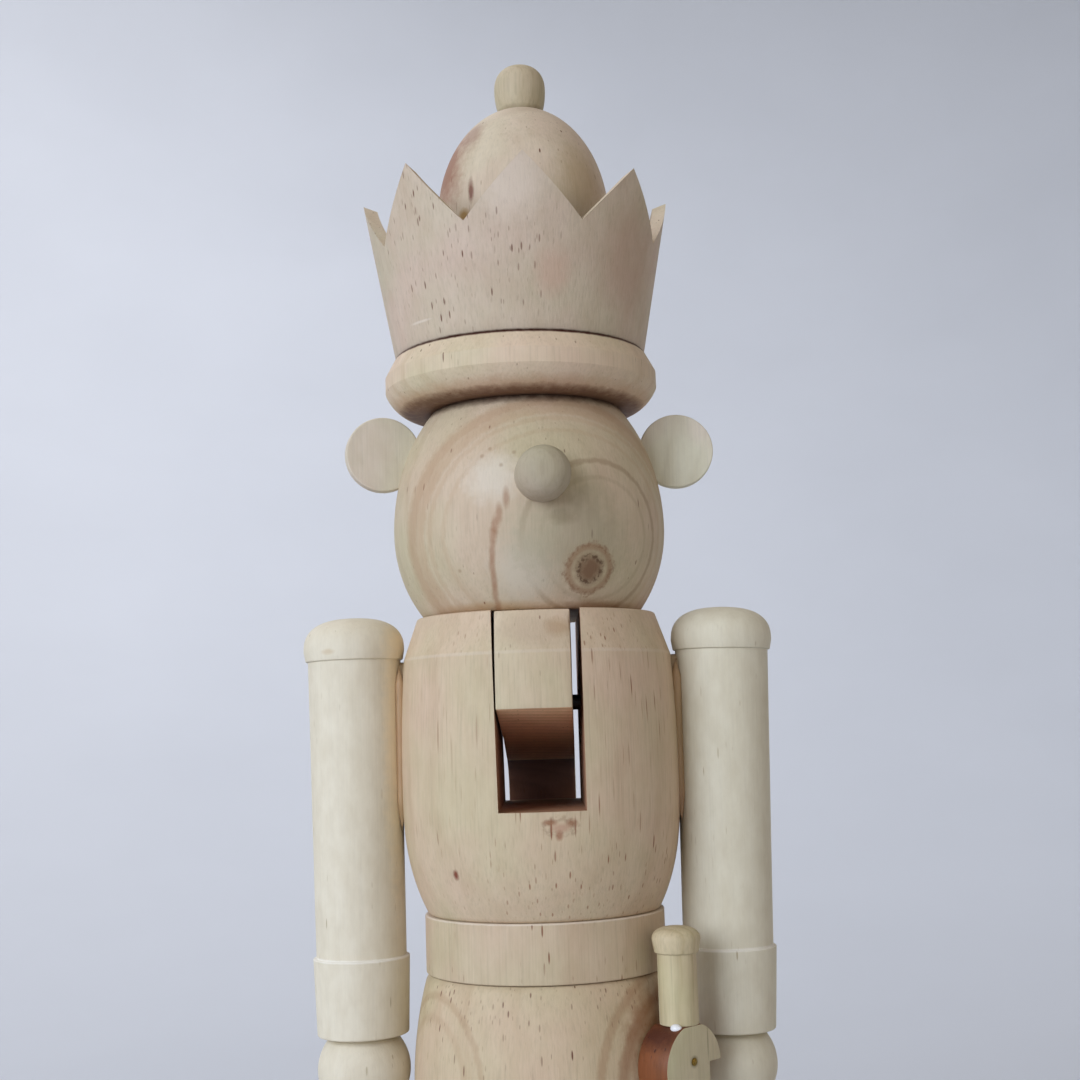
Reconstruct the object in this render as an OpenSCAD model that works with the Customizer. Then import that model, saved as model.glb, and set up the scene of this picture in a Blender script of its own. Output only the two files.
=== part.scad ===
// Turned-wood nutcracker figure with a crown, a jaw lever and a sword at its left side.
// Millimetres. The figure faces -Y and stands on Z = 0; its own left is +X.

/* [Base] */
// width of the base block, side to side
base_w = 108; // [106:0.5:120]
// depth of the base block, front to back
base_d = 90; // [88:0.5:104]
// height of the base block
base_h = 22; // [16:0.5:30]
// chamfer round the top of the base block
base_edge = 3; // [1:0.25:5]

/* [Feet] */
// width of one foot, and of its round heel and toe
foot_w = 25; // [24:0.25:27]
// height of a foot under the leg
foot_h = 13; // [10:0.5:18]
// height of a foot at its toe
toe_h = 6; // [4:0.25:9]
// how far the toe's centre lies in front of the leg
toe_reach = 18; // [15:0.25:26]

/* [Legs] */
// distance between the two legs' axes
leg_spacing = 29.4; // [28.4:0.2:29.6]
// height of a leg, from the foot to the hips
leg_h = 102; // [90:0.5:114]
// radius of the boot at the foot
boot_foot_r = 11.4; // [10:0.1:12]
// radius of the boot under its top band
boot_top_r = 12.7; // [11.5:0.1:13.2]
// height of the boot shaft
boot_h = 46; // [36:0.5:56]
// radius of the band round the top of the boot
boot_band_r = 13.7; // [13.2:0.1:14]
// height of that band
boot_band_h = 5; // [3:0.25:8]
// radius of the leg above the boot
leg_low_r = 11.6; // [10.5:0.1:12.2]
// radius of the leg at the hips
leg_top_r = 12.3; // [11.5:0.1:12.5]

/* [Hips] */
// height of the hips
hips_h = 35.2; // [32:0.2:40]
// radius of the hips at their foot
hips_foot_r = 27.4; // [27:0.1:28.4]
// largest radius of the hips
hips_max_r = 29.5; // [29.1:0.1:29.9]
// radius of the hips under the belt
hips_top_r = 26; // [25.4:0.1:27]
// height of the largest radius above the hips' foot
hips_max_z = 10; // [9:0.25:12]

/* [Belt] */
// height of the belt disc
belt_h = 12.4; // [10:0.2:16]
// radius of the belt disc
belt_r = 26.4; // [25.8:0.1:28]
// chamfer on the belt's two edges
belt_edge = 0.5; // [0.2:0.1:1.5]

/* [Torso] */
// height of the torso
torso_h = 64.8; // [62:0.2:70]
// radius of the torso at the belt
torso_foot_r = 25.5; // [24.8:0.1:26.5]
// largest radius of the torso
torso_max_r = 30.9; // [30.5:0.1:31.4]
// height of that largest radius above the belt
torso_max_z = 31; // [28:0.25:34]
// radius at the line where the shoulder chamfer starts
torso_shoulder_r = 30; // [29.4:0.1:30.4]
// height of that line above the belt
torso_shoulder_z = 55.6; // [54:0.2:57.6]
// radius of the torso under the head
torso_neck_r = 26.8; // [25.5:0.1:28]
// width of the slot sawn through for the jaw lever
slot_w = 18.8; // [18.8:0.1:20]
// how far the slot's wall at the figure's right leans in, from its top to its floor
slot_lean = 0.6; // [0:0.1:0.8]
// height of the slot's floor above the belt
slot_floor_z = 22.75; // [20.5:0.25:24.5]

/* [Jaw lever] */
// width of the jaw
jaw_w = 15.9; // [14.5:0.1:15.9]
// height of the jaw's front face
jaw_h = 20.1; // [18:0.1:21.5]
// gap between the jaw and the head above it
jaw_gap = 0.3; // [0.2:0.05:0.8]
// length of the jaw's flat top behind the torso's axis line, counted from the front
jaw_flat_y = -8; // [-12:0.25:-5]
// width of the tail
tail_w = 15.5; // [12:0.1:15.6]
// thickness of the tail, front to back
tail_t = 8.5; // [7:0.1:8.9]
// gap between the torso's back and the tail
tail_clear = 2.6; // [1.5:0.1:2.9]
// height of the tail's lower end above the ground
tail_end_z = 124; // [108:0.5:146]
// turn of the lever in its loose slot, in degrees
lever_skew = 1.3; // [0:0.1:1.3]
// sideways rest of the lever on its pin
lever_shift = -0.15; // [-0.2:0.05:0.3]
// radius of the jaw pin
pin_r = 1.7; // [1.2:0.05:2.2]
// height of the pin above the jaw's lower front edge
pin_rise = 1; // [0.8:0.1:2]

/* [Head] */
// largest radius of the head
head_r = 30.7; // [30.2:0.1:31.2]
// height of that largest radius above the torso
head_centre_z = 19.4; // [18.5:0.1:20.5]
// radius of the head's flat underside
head_foot_r = 24.1; // [23:0.1:25.2]
// radius of the head's flat top
head_top_r = 21.5; // [20.5:0.1:23]
// height of the head, from torso to crown ring
head_h = 46.8; // [45.5:0.1:48]
// turn of the head to its left, in degrees
head_turn = 6; // [0:0.2:8]
// sideways seat of the head on the torso
head_shift = -0.9; // [-1.5:0.1:1.5]
// diameter of an ear disc
ear_d = 17; // [15:0.1:18]
// thickness of an ear disc
ear_t = 3; // [2:0.1:4]
// how deep the ear discs reach into the head's side
ear_sink = 1.7; // [1.2:0.1:2.4]
// distance of the ear discs' centres below the crown ring
ear_drop = 9.2; // [9.1:0.1:11]
// sideways seat of both ear discs on the head
ear_shift = 0.9; // [0:0.1:1.2]
// turn of each ear disc towards the front, in degrees
ear_toe_in = 8; // [0:1:12]
// radius of the nose knob
nose_r = 5.8; // [4.8:0.1:6.5]
// length of the nose in front of the head
nose_l = 9.5; // [8:0.1:10.5]
// height of the nose's axis above the torso
nose_z = 27.5; // [25.5:0.1:29.5]
// radius of the nose's peg in the head
nose_peg_r = 2.5; // [2:0.1:3.5]
// depth of the nose's peg in the head
nose_peg_l = 9; // [6:0.5:12]

/* [Crown ring] */
// height of the ring
ring_h = 12.4; // [11.5:0.1:14]
// sideways seat of the ring and the crown on the head
crown_shift = -1.8; // [-2:0.1:2]
// largest radius of the ring
ring_r = 31.1; // [30.4:0.1:32]
// radius of the ring's underside where its rounding ends
ring_foot_r = 24.5; // [23.5:0.1:26]
// radius of the ring's top face
ring_top_r = 28.9; // [28.7:0.1:29.8]
// height of the rounding under the ring
ring_round_h = 5; // [4:0.1:6]
// angle that the rounding turns through before it meets the ring's side, in degrees
ring_arc = 60; // [50:5:90]
// height of the bevel at the top of the ring
ring_bevel_h = 4.1; // [3:0.1:5.5]

/* [Crown] */
// height of the crown, from the ring to its points
crown_h = 37.4; // [34:0.1:40]
// outer radius of the crown at the ring
crown_foot_r = 28.5; // [27.8:0.1:28.6]
// outer radius of the crown at its points
crown_tip_r = 35.4; // [34:0.1:36.5]
// thickness of the crown's wall
crown_wall = 3; // [2:0.1:4]
// thickness of the crown's floor
crown_floor = 8; // [6:0.2:10]
// depth of the notches between the points
notch_h = 13.7; // [10:0.1:16]
// how much the saw takes off each point
tip_trim = 0.6; // [0.3:0.1:1.2]
// number of points, an even number
points = 8; // [6:2:12]
// turn of the crown to its left, in degrees
crown_turn = 3.5; // [0:0.5:8]

/* [Dome and finial] */
// largest radius of the egg-shaped dome
dome_r = 20; // [18:0.1:21.5]
// height of the dome's top above the crown's floor
dome_h = 51.4; // [48:0.2:54]
// height of the dome's largest radius above the crown's floor
dome_max_z = 25.4; // [23:0.2:27]
// radius of the dome's foot on the crown's floor
dome_foot_r = 10; // [8.5:0.1:12]
// largest radius of the finial bead
finial_r = 6; // [5.4:0.1:6.6]
// height of the finial bead
finial_h = 11.8; // [10:0.1:13]
// radius of the bead's flat foot
finial_foot_r = 5; // [4.2:0.1:5.3]
// radius of the bead's peg in the dome
finial_peg_r = 1.8; // [1.5:0.1:2.5]
// depth of that peg
finial_peg_l = 8; // [5:0.5:12]

/* [Arms] */
// rise of the arms' caps above the torso
arm_rise = 0.9; // [0:0.1:1.5]
// height of an arm's cap
cap_h = 9.6; // [8:0.1:11]
// radius of the cap
cap_r = 11.3; // [10.9:0.1:11.7]
// radius of the sleeve under the cap
sleeve_top_r = 10.4; // [10.2:0.1:10.7]
// radius of the sleeve at the cuff
sleeve_low_r = 9.9; // [9.2:0.1:10.1]
// height of the cuff
cuff_h = 17.2; // [15:0.2:19]
// radius of the cuff at its top
cuff_r = 10.6; // [10.2:0.1:10.9]
// radius of the cuff at its foot
cuff_foot_r = 10; // [9.7:0.1:10.2]
// radius of the groove between cuff and hand
wrist_r = 6.8; // [6:0.1:7.2]
// height of that groove
wrist_h = 1.2; // [1:0.1:2]
// radius of the ball hand
hand_r = 10.1; // [9.6:0.1:10.1]
// height of the cuff's foot above the ground
cuff_foot_z = 158.6; // [157:0.2:160]
// how deep the arm is scraped out where it is glued to the torso
arm_flat = 0.1; // [0.05:0.01:0.2]
// lean of the left arm, its hand towards the hips, in degrees
left_lean = 1.2; // [0:0.1:1.2]
// lean of the right arm, its hand towards the hips, in degrees
right_lean = 0.5; // [0:0.1:1.2]

/* [Sword] */
// turn of the sword guard from the figure's left towards its front, in degrees
guard_turn = 44; // [41:0.5:47]
// diameter of the guard disc
guard_d = 17.6; // [17:0.1:18.4]
// thickness of the guard disc
guard_t = 7.9; // [7:0.1:8.8]
// height of the guard's centre above the hips' foot
guard_z = 17.4; // [16.6:0.1:18.2]
// shift of the guard's centre to the back along its face
guard_shift = 4.6; // [4:0.1:5.2]
// depth of the flat cut in the hips behind the guard
guard_flat = 0.45; // [0.2:0.05:0.8]
// distance from the guard's centre to the upright edge of its notch
notch_edge = 5.1; // [4.8:0.1:6]
// height of the notch's upper edge above the guard's centre
notch_top_z = 0.4; // [0:0.1:1.2]
// depth of the flat on top of the guard under the grip
grip_flat = 0.5; // [0.4:0.05:0.9]
// radius of the grip
grip_r = 4.1; // [3.7:0.1:4.5]
// height of the grip under its pommel
grip_h = 14.5; // [12:0.1:18]
// radius of the pommel
pommel_r = 5.1; // [4.7:0.1:5.8]
// height of the pommel
pommel_h = 5.4; // [4:0.1:7]
// shift of the grip's axis from the guard's centre along its face
grip_shift = 0.4; // [0:0.1:0.8]
// radius of the grip's peg in the guard
grip_peg_r = 2; // [1.5:0.1:2.4]
// depth of that peg
grip_peg_l = 5.5; // [4:0.1:5.8]
// width of the blade
blade_w = 8; // [6:0.1:8.6]
// thickness of the blade
blade_t = 3; // [2:0.1:4]
// height of the blade's point above the ground
blade_end_z = 45; // [40:0.5:70]
// length of the blade's point
blade_point = 9; // [5:0.25:14]
// depth of the blade's end in the guard
blade_tang = 7; // [5:0.2:8]
// shift of the blade's middle line from the guard's centre along its face
blade_shift = 0; // [-1:0.1:0.5]
// radius of the nail's shank
nail_r = 0.5; // [0.4:0.05:0.7]
// radius of the nail's head
nail_head_r = 0.8; // [0.75:0.05:1.2]
// height of the nail's head on the guard
nail_head_h = 0.5; // [0.3:0.05:0.8]
// depth of the nail in the hips
nail_depth = 11; // [6:0.5:14]
// shift of the nail from the guard's centre along its face
nail_shift = -0.2; // [-1:0.1:0.6]
// height of the nail above the guard's centre
nail_z = 1.2; // [0.8:0.1:1.5]

/* [Dowels and clearances] */
// radius of the slim dowels in head, arms and feet
dowel_r = 3; // [2.5:0.1:3.4]
// radius of the waist dowel
waist_dowel_r = 6; // [4:0.1:7]
// depth of a dowel in each piece that it joins
dowel_l = 11; // [9:0.25:12]
// side distance of the head dowels from the slot's middle
head_dowel_x = 17; // [16:0.2:18]
// distance of the head dowels behind the torso's axis
head_dowel_y = 9; // [8.5:0.1:10]
// height of the arm dowels above the belt
arm_dowel_z = 52.5; // [51.8:0.1:53.5]
// gap for glue round every dowel and peg
glue_gap = 0.1; // [0.05:0.01:0.2]
// gap for glue between faces that are curved
seat_gap = 0.05; // [0.03:0.01:0.1]
// running gap round the jaw pin in the lever
pin_run = 0.06; // [0.02:0.01:0.1]
// gap round the driven pin and nail in what holds them
drive_gap = 0.01; // [0.01:0.01:0.03]

/* [Hidden] */
$fn = 96;
// how far a cut runs past the face it opens
overrun = 2;
// number of straight pieces in a turned curve
curve_steps = 14;
// how quickly the turned bulges round off
hips_power = 2.2;
torso_power = 3;
// how quickly the flattened balls round off
knob_power = 2.4;
cap_power = 2.6;
// where the widest line of a turned knob lies, as shares of its length
cap_full_share = 1 / 3;
nose_full_share = 1 / 3;
pommel_full_share = 1 / 2;
// heights of the stacked pieces
foot_z0 = base_h;
leg_z0 = foot_z0 + foot_h;
hips_z0 = leg_z0 + leg_h;
belt_z0 = hips_z0 + hips_h;
torso_z0 = belt_z0 + belt_h;
head_z0 = torso_z0 + torso_h;
ring_z0 = head_z0 + head_h;
crown_z0 = ring_z0 + ring_h;
dome_z0 = crown_z0 + crown_floor;
finial_z0 = dome_z0 + dome_h;
leg_x = leg_spacing / 2;
// lever, seen from the figure's left
jaw_top_z = head_z0 - jaw_gap;
jaw_low_z = jaw_top_z - jaw_h;
pin_z = jaw_low_z + pin_rise;
pin_end_x = torso_shoulder_r - overrun;
tail_y = torso_max_r + tail_clear;
tail_back_y = tail_y + tail_t;
bend_y = 22;
bend_fall = 11.5;
bend_z = jaw_low_z - bend_fall;
bend_drop = 9.4;
heel_y = 28;
heel_fall = 14.9;
heel_z = jaw_top_z - heel_fall;
heel_drop = 15.5;
tail_flare = 1.2;
tail_end_r = 3;
taper_y0 = 4;
taper_y1 = 28;
// arms
arm_top_z = head_z0 + arm_rise;
seat_z = torso_z0 + torso_max_z;
cuff_top_z = cuff_foot_z + cuff_h;
seat_share = (seat_z - cuff_top_z) / (arm_top_z - cap_h - cuff_top_z);
seat_r = sleeve_low_r + (sleeve_top_r - sleeve_low_r) * seat_share;
arm_x = torso_max_r + seat_gap + seat_r - arm_flat;
arm_dowel_more = 3;
arm_dowel_in = dowel_l + arm_dowel_more;
hand_sink = 6.2;
hand_z = cuff_foot_z - wrist_h - hand_sink;
// sword, along the guard's outward line and along its face
guard_x = hips_max_r - guard_flat + seat_gap;
guard_mid_x = guard_x + guard_t / 2;
guard_cz = hips_z0 + guard_z;
guard_top_z = guard_cz + guard_d / 2 - grip_flat;
grip_y = guard_shift + grip_shift;
blade_y = guard_shift + blade_shift;
blade_top_z = guard_cz - guard_d / 2 + blade_tang;
nail_y = guard_shift + nail_shift;
nail_cz = guard_cz + nail_z;
// head
head_low_h = head_centre_z / sqrt(1 - pow(head_foot_r / head_r, 2));
head_high_h = (head_h - head_centre_z) / sqrt(1 - pow(head_top_r / head_r, 2));
ear_z = head_h - ear_drop;
ear_x = head_radius(ear_z) + ear_d / 2 - ear_sink;
nose_seat_y = head_radius(nose_z);
// crown
tip_half_w = (crown_tip_r + tip_trim) * sin(180 / points);
foot_mouth_r = crown_foot_r - crown_wall;
tip_mouth_r = crown_tip_r - crown_wall;
floor_mouth_r = foot_mouth_r + (tip_mouth_r - foot_mouth_r) * crown_floor / crown_h;

// points of a bulge from (r0, z0) to (r1, z1) that is steepest at r1
function bulge(r0, z0, r1, z1, power) =
    [for (i = [0:curve_steps])
        let (s = i / curve_steps)
        [r0 + (r1 - r0) * (1 - pow(1 - s, power)), z0 + (z1 - z0) * s]];

// points of a quarter curve from (r1, z1), where it runs up, to (0, z2), where it is flat
function cap_curve(r1, z1, z2, power) =
    [for (i = [0:curve_steps])
        let (a = 90 * i / curve_steps)
        [r1 * pow(cos(a), 2 / power), z1 + (z2 - z1) * pow(sin(a), 2 / power)]];

// the torso's turned outline, from the belt to the head
function torso_curve() = concat(
    bulge(torso_foot_r, 0, torso_max_r, torso_max_z, torso_power),
    [for (i = [1:curve_steps])
        let (s = i / curve_steps)
        [torso_max_r - (torso_max_r - torso_shoulder_r) * s * s,
         torso_max_z + (torso_shoulder_z - torso_max_z) * s]],
    [[torso_neck_r, torso_h]]);

// the lever's outline seen from the side, as (y, z)
function lever_line() = concat(
    [[-torso_max_r - overrun, jaw_low_z]],
    [for (i = [0:curve_steps])
        let (a = 90 * i / curve_steps)
        [bend_y + (tail_y - bend_y) * sin(a), bend_z - bend_drop * (1 - cos(a))]],
    [for (i = [0:curve_steps])
        let (a = 180 * i / curve_steps)
        [tail_y + tail_flare + tail_end_r - tail_end_r * cos(a),
         tail_end_z + tail_end_r - tail_end_r * sin(a)]],
    [for (i = [0:curve_steps])
        let (a = 90 * i / curve_steps)
        [heel_y + (tail_back_y - heel_y) * cos(a), heel_z - heel_drop * (1 - sin(a))]],
    [[jaw_flat_y, jaw_top_z], [-torso_max_r - overrun, jaw_top_z]]);

module turned(line) {
    rotate_extrude()
        polygon(line);
}

// the torso before it is sawn, grown by a gap
module torso_blank(gap) {
    translate([0, 0, torso_z0])
        turned(concat([[0, 0]], [for (p = torso_curve()) [p[0] + gap, p[1]]], [[0, torso_h]]));
}

// a round bar along X from x0 to x1
module bar_x(x0, x1, y, z, r) {
    translate([x0, y, z])
        rotate([0, 90, 0])
            cylinder(r = r, h = x1 - x0);
}

// a round bar up Z
module bar_z(x, y, z0, z1, r) {
    translate([x, y, z0])
        cylinder(r = r, h = z1 - z0);
}

// puts its children in the sword's own frame: X out of the hips, Y along the guard's face
module at_guard() {
    rotate([0, 0, -guard_turn])
        children();
}

module both_sides() {
    for (side = [0, 1])
        mirror([side, 0, 0])
            children();
}

module base_section(w) {
    polygon([[-w / 2, 0], [w / 2, 0], [w / 2, base_h - base_edge], [w / 2 - base_edge, base_h],
             [base_edge - w / 2, base_h], [-w / 2, base_h - base_edge]]);
}

module base() {
    color("burlywood")
        difference() {
            intersection() {
                rotate([90, 0, 0])
                    linear_extrude(height = base_d, center = true)
                        base_section(base_w);
                rotate([90, 0, 90])
                    linear_extrude(height = base_w, center = true)
                        base_section(base_d);
            }
            both_sides()
                bar_z(leg_x, 0, base_h - dowel_l, base_h + overrun, dowel_r + glue_gap);
        }
}

module foot_plan() {
    circle(d = foot_w);
    translate([0, -toe_reach])
        circle(d = foot_w);
    translate([-foot_w / 2, -toe_reach])
        square([foot_w, toe_reach]);
}

// the foot's outline seen from the side: level under the leg, then down to the toe
module foot_side() {
    polygon(concat(
        [[foot_w / 2 + overrun, 0], [foot_w / 2 + overrun, foot_h]],
        [for (i = [0:curve_steps])
            let (a = 90 * i / curve_steps)
            [-foot_w / 2 - toe_reach * sin(a), toe_h + (foot_h - toe_h) * cos(a)]],
        [[-foot_w / 2 - toe_reach - overrun, toe_h], [-foot_w / 2 - toe_reach - overrun, 0]]));
}

module foot() {
    difference() {
        intersection() {
            linear_extrude(height = foot_h)
                foot_plan();
            rotate([90, 0, 90])
                linear_extrude(height = foot_w + overrun, center = true)
                    foot_side();
        }
        bar_z(0, 0, -overrun, foot_h + overrun, dowel_r + glue_gap);
    }
}

module left_foot() {
    color("tan")
        translate([leg_x, 0, foot_z0])
            foot();
}

module right_foot() {
    color("tan")
        translate([-leg_x, 0, foot_z0])
            foot();
}

module leg() {
    difference() {
        turned([[0, 0], [boot_foot_r, 0], [boot_top_r, boot_h], [boot_band_r, boot_h],
                [boot_band_r, boot_h + boot_band_h], [leg_low_r, boot_h + boot_band_h],
                [leg_top_r, leg_h], [0, leg_h]]);
        bar_z(0, 0, -overrun, dowel_l, dowel_r + glue_gap);
        bar_z(0, 0, leg_h - dowel_l, leg_h + overrun, dowel_r + glue_gap);
    }
}

module left_leg() {
    color("tan")
        translate([leg_x, 0, leg_z0])
            leg();
}

module right_leg() {
    color("tan")
        translate([-leg_x, 0, leg_z0])
            leg();
}

module hips() {
    low = bulge(hips_foot_r, 0, hips_max_r, hips_max_z, hips_power);
    high = bulge(hips_top_r, hips_h, hips_max_r, hips_max_z, hips_power);
    color("burlywood")
        difference() {
            translate([0, 0, hips_z0])
                turned(concat([[0, 0]], low,
                              [for (i = [1:curve_steps]) high[curve_steps - i]],
                              [[0, hips_h]]));
            both_sides()
                bar_z(leg_x, 0, hips_z0 - overrun, hips_z0 + dowel_l, dowel_r + glue_gap);
            bar_z(0, 0, belt_z0 - dowel_l, belt_z0 + overrun, waist_dowel_r + glue_gap);
            at_guard() {
                bar_x(hips_max_r - guard_flat, hips_max_r + overrun, guard_shift, guard_cz, guard_d / 2);
                bar_x(guard_x - nail_depth - glue_gap, hips_max_r, nail_y, nail_cz, nail_r + drive_gap);
            }
        }
}

module belt() {
    color("burlywood")
        translate([0, 0, belt_z0])
            difference() {
                turned([[0, 0], [belt_r - belt_edge, 0], [belt_r, belt_edge], [belt_r, belt_h - belt_edge],
                        [belt_r - belt_edge, belt_h], [0, belt_h]]);
                bar_z(0, 0, -overrun, belt_h + overrun, waist_dowel_r + glue_gap);
            }
}

module torso() {
    color("burlywood")
        difference() {
            torso_blank(0);
            rotate([90, 0, 0])
                linear_extrude(height = 2 * (torso_max_r + overrun), center = true)
                    polygon([[slot_lean - slot_w / 2, torso_z0 + slot_floor_z],
                             [slot_w / 2, torso_z0 + slot_floor_z],
                             [slot_w / 2, head_z0 + overrun], [-slot_w / 2, head_z0 + overrun],
                             [-slot_w / 2, head_z0]]);
            bar_z(0, 0, torso_z0 - overrun, torso_z0 + dowel_l, waist_dowel_r + glue_gap);
            bar_x(-torso_max_r - overrun, torso_max_r + overrun, 0, pin_z, pin_r + drive_gap);
            both_sides() {
                bar_x(torso_max_r - arm_dowel_in, torso_max_r + overrun, 0, torso_z0 + arm_dowel_z,
                      dowel_r + glue_gap);
                bar_z(head_dowel_x, head_dowel_y, head_z0 - dowel_l, head_z0 + overrun, dowel_r + glue_gap);
            }
        }
}

// the lever seen from above: full width at the jaw, slimmer at the tail
module lever_plan() {
    front_y = -torso_max_r - overrun;
    back_y = tail_back_y + tail_flare + overrun;
    polygon([[-jaw_w / 2, front_y], [jaw_w / 2, front_y], [jaw_w / 2, taper_y0], [tail_w / 2, taper_y1],
             [tail_w / 2, back_y], [-tail_w / 2, back_y], [-tail_w / 2, taper_y1], [-jaw_w / 2, taper_y0]]);
}

module jaw_lever() {
    color("peru")
        difference() {
            translate([lever_shift, 0, 0])
                rotate([0, 0, -lever_skew])
                    intersection() {
                        rotate([90, 0, 90])
                            linear_extrude(height = jaw_w + overrun, center = true)
                                polygon(lever_line());
                        linear_extrude(height = head_z0)
                            lever_plan();
                        union() {
                            torso_blank(0);
                            translate([-jaw_w, 0, 0])
                                cube([2 * jaw_w, tail_back_y + tail_flare + overrun, head_z0]);
                        }
                    }
            bar_x(-slot_w / 2, slot_w / 2, 0, pin_z, pin_r + pin_run);
        }
}

module jaw_pin() {
    color("silver")
        bar_x(-pin_end_x, pin_end_x, 0, pin_z, pin_r);
}

// the head's turned shape, grown by a gap and cut level at two heights above the torso
module head_shape(gap, z0, z1) {
    translate([head_shift, 0, head_z0])
        turned(concat([[0, z0]],
                      [for (i = [0:2 * curve_steps])
                          let (z = z0 + (z1 - z0) * i / (2 * curve_steps))
                          [gap + head_radius(z), z]],
                      [[0, z1]]));
}

// puts its children on the head's own axis, turned with the head, with Z = 0 on the torso
module at_head() {
    translate([head_shift, 0, head_z0])
        rotate([0, 0, head_turn])
            children();
}

module head() {
    color("burlywood")
        difference() {
            head_shape(0, 0, head_h);
            both_sides()
                bar_z(head_dowel_x, head_dowel_y, head_z0 - overrun, head_z0 + dowel_l, dowel_r + glue_gap);
            bar_z(0, 0, ring_z0 - dowel_l, ring_z0 + overrun, dowel_r + glue_gap);
            at_head()
                translate([0, -nose_seat_y + nose_peg_l + glue_gap, nose_z])
                    rotate([90, 0, 0])
                        cylinder(r = nose_peg_r + glue_gap, h = nose_peg_l + head_r);
        }
}

// the head's radius at a height above the torso
function head_radius(z) =
    let (reach = z < head_centre_z ? head_low_h : head_high_h)
    head_r * sqrt(1 - pow((z - head_centre_z) / reach, 2));

module nose() {
    color("wheat")
        difference() {
            at_head()
                translate([0, -nose_seat_y, nose_z])
                    rotate([90, 0, 0])
                        turned(concat([[0, -nose_peg_l], [nose_peg_r, -nose_peg_l], [nose_peg_r, -overrun],
                                       [nose_r - glue_gap, -overrun]],
                                      cap_curve(nose_r, nose_l * nose_full_share, nose_l, knob_power)));
            difference() {
                head_shape(seat_gap, 0, head_h);
                at_head()
                    translate([0, overrun - nose_seat_y + nose_peg_l, nose_z])
                        rotate([90, 0, 0])
                            cylinder(r = nose_peg_r + seat_gap, h = nose_peg_l + overrun + head_r);
            }
        }
}

module ear(side) {
    difference() {
        at_head()
            translate([ear_shift + side * ear_x, 0, ear_z])
                rotate([0, 0, -side * ear_toe_in])
                    rotate([90, 0, 0])
                        cylinder(d = ear_d, h = ear_t, center = true);
        head_shape(seat_gap, 0, head_h);
    }
}

module left_ear() {
    color("wheat")
        ear(1);
}

module right_ear() {
    color("wheat")
        ear(-1);
}

module crown_ring() {
    color("burlywood")
        difference() {
            translate([crown_shift, 0, ring_z0])
                turned(concat([[0, 0]],
                              [for (i = [0:curve_steps])
                                  let (a = ring_arc * i / curve_steps)
                                  [ring_foot_r + (ring_r - ring_foot_r) * sin(a) / sin(ring_arc),
                                   ring_round_h * (1 - cos(a)) / (1 - cos(ring_arc))]],
                              [[ring_r, ring_h - ring_bevel_h], [ring_top_r, ring_h], [0, ring_h]]));
            bar_z(0, 0, ring_z0 - overrun, crown_z0 + overrun, dowel_r + glue_gap);
        }
}

module crown() {
    color("burlywood")
        difference() {
            translate([crown_shift, 0, crown_z0])
                rotate([0, 0, crown_turn])
                    difference() {
                        turned([[0, 0], [crown_foot_r, 0], [crown_tip_r, crown_h], [tip_mouth_r, crown_h],
                                [floor_mouth_r, crown_floor], [0, crown_floor]]);
                        for (i = [0:points / 2 - 1])
                            rotate([90, 0, 360 * (i + 1 / 2) / points])
                                linear_extrude(height = 2 * (crown_tip_r + overrun), center = true)
                                    polygon([[0, crown_h - notch_h], [2 * tip_half_w, crown_h + notch_h],
                                             [-2 * tip_half_w, crown_h + notch_h]]);
                    }
            bar_z(0, 0, crown_z0 - overrun, dome_z0 + overrun, dowel_r + glue_gap);
        }
}

module crown_dome() {
    low_sin = sqrt(1 - pow(dome_foot_r / dome_r, 2));
    high_sin = sqrt(1 - pow(finial_foot_r / dome_r, 2));
    color("burlywood")
        translate([0, 0, dome_z0])
            difference() {
                turned(concat([[0, 0]],
                              [for (i = [0:curve_steps])
                                  let (s = 1 - i / curve_steps)
                                  [dome_r * sqrt(1 - pow(low_sin * s, 2)), dome_max_z * (1 - s)]],
                              [for (i = [1:curve_steps])
                                  let (s = i / curve_steps)
                                  [dome_r * sqrt(1 - pow(high_sin * s, 2)),
                                   dome_max_z + (dome_h - dome_max_z) * s]],
                              [[0, dome_h]]));
                bar_z(0, 0, -overrun, dowel_l, dowel_r + glue_gap);
                bar_z(0, 0, dome_h - finial_peg_l - glue_gap, dome_h + overrun, finial_peg_r + glue_gap);
            }
}

module finial() {
    bead_z = finial_h / 2;
    foot_a = acos(finial_foot_r / finial_r);
    color("wheat")
        translate([0, 0, finial_z0])
            turned(concat([[0, -finial_peg_l], [finial_peg_r, -finial_peg_l], [finial_peg_r, 0]],
                          [for (i = [0:curve_steps])
                              let (a = -foot_a * (1 - i / curve_steps))
                              [finial_r * cos(a), bead_z + bead_z * sin(a) / sin(foot_a)]],
                          cap_curve(finial_r, bead_z, finial_h, knob_power)));
}

// one arm, turned about its own axis, with Z = 0 where it touches the torso
module arm() {
    cap_z = arm_top_z - cap_h;
    wrist_z = cuff_foot_z - wrist_h;
    wrist_a = asin((wrist_z - hand_z) / hand_r);
    translate([0, 0, -seat_z])
        turned(concat(
            [for (i = [0:2 * curve_steps])
                let (a = -90 + (wrist_a + 90) * i / (2 * curve_steps))
                [hand_r * cos(a), hand_z + hand_r * sin(a)]],
            [[wrist_r, wrist_z + wrist_h / 2], [wrist_r, cuff_foot_z], [cuff_foot_r, cuff_foot_z],
             [cuff_r, cuff_top_z], [sleeve_low_r, cuff_top_z], [sleeve_top_r, cap_z]],
            cap_curve(cap_r, cap_z + cap_h * cap_full_share, arm_top_z, cap_power)));
}

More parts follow.
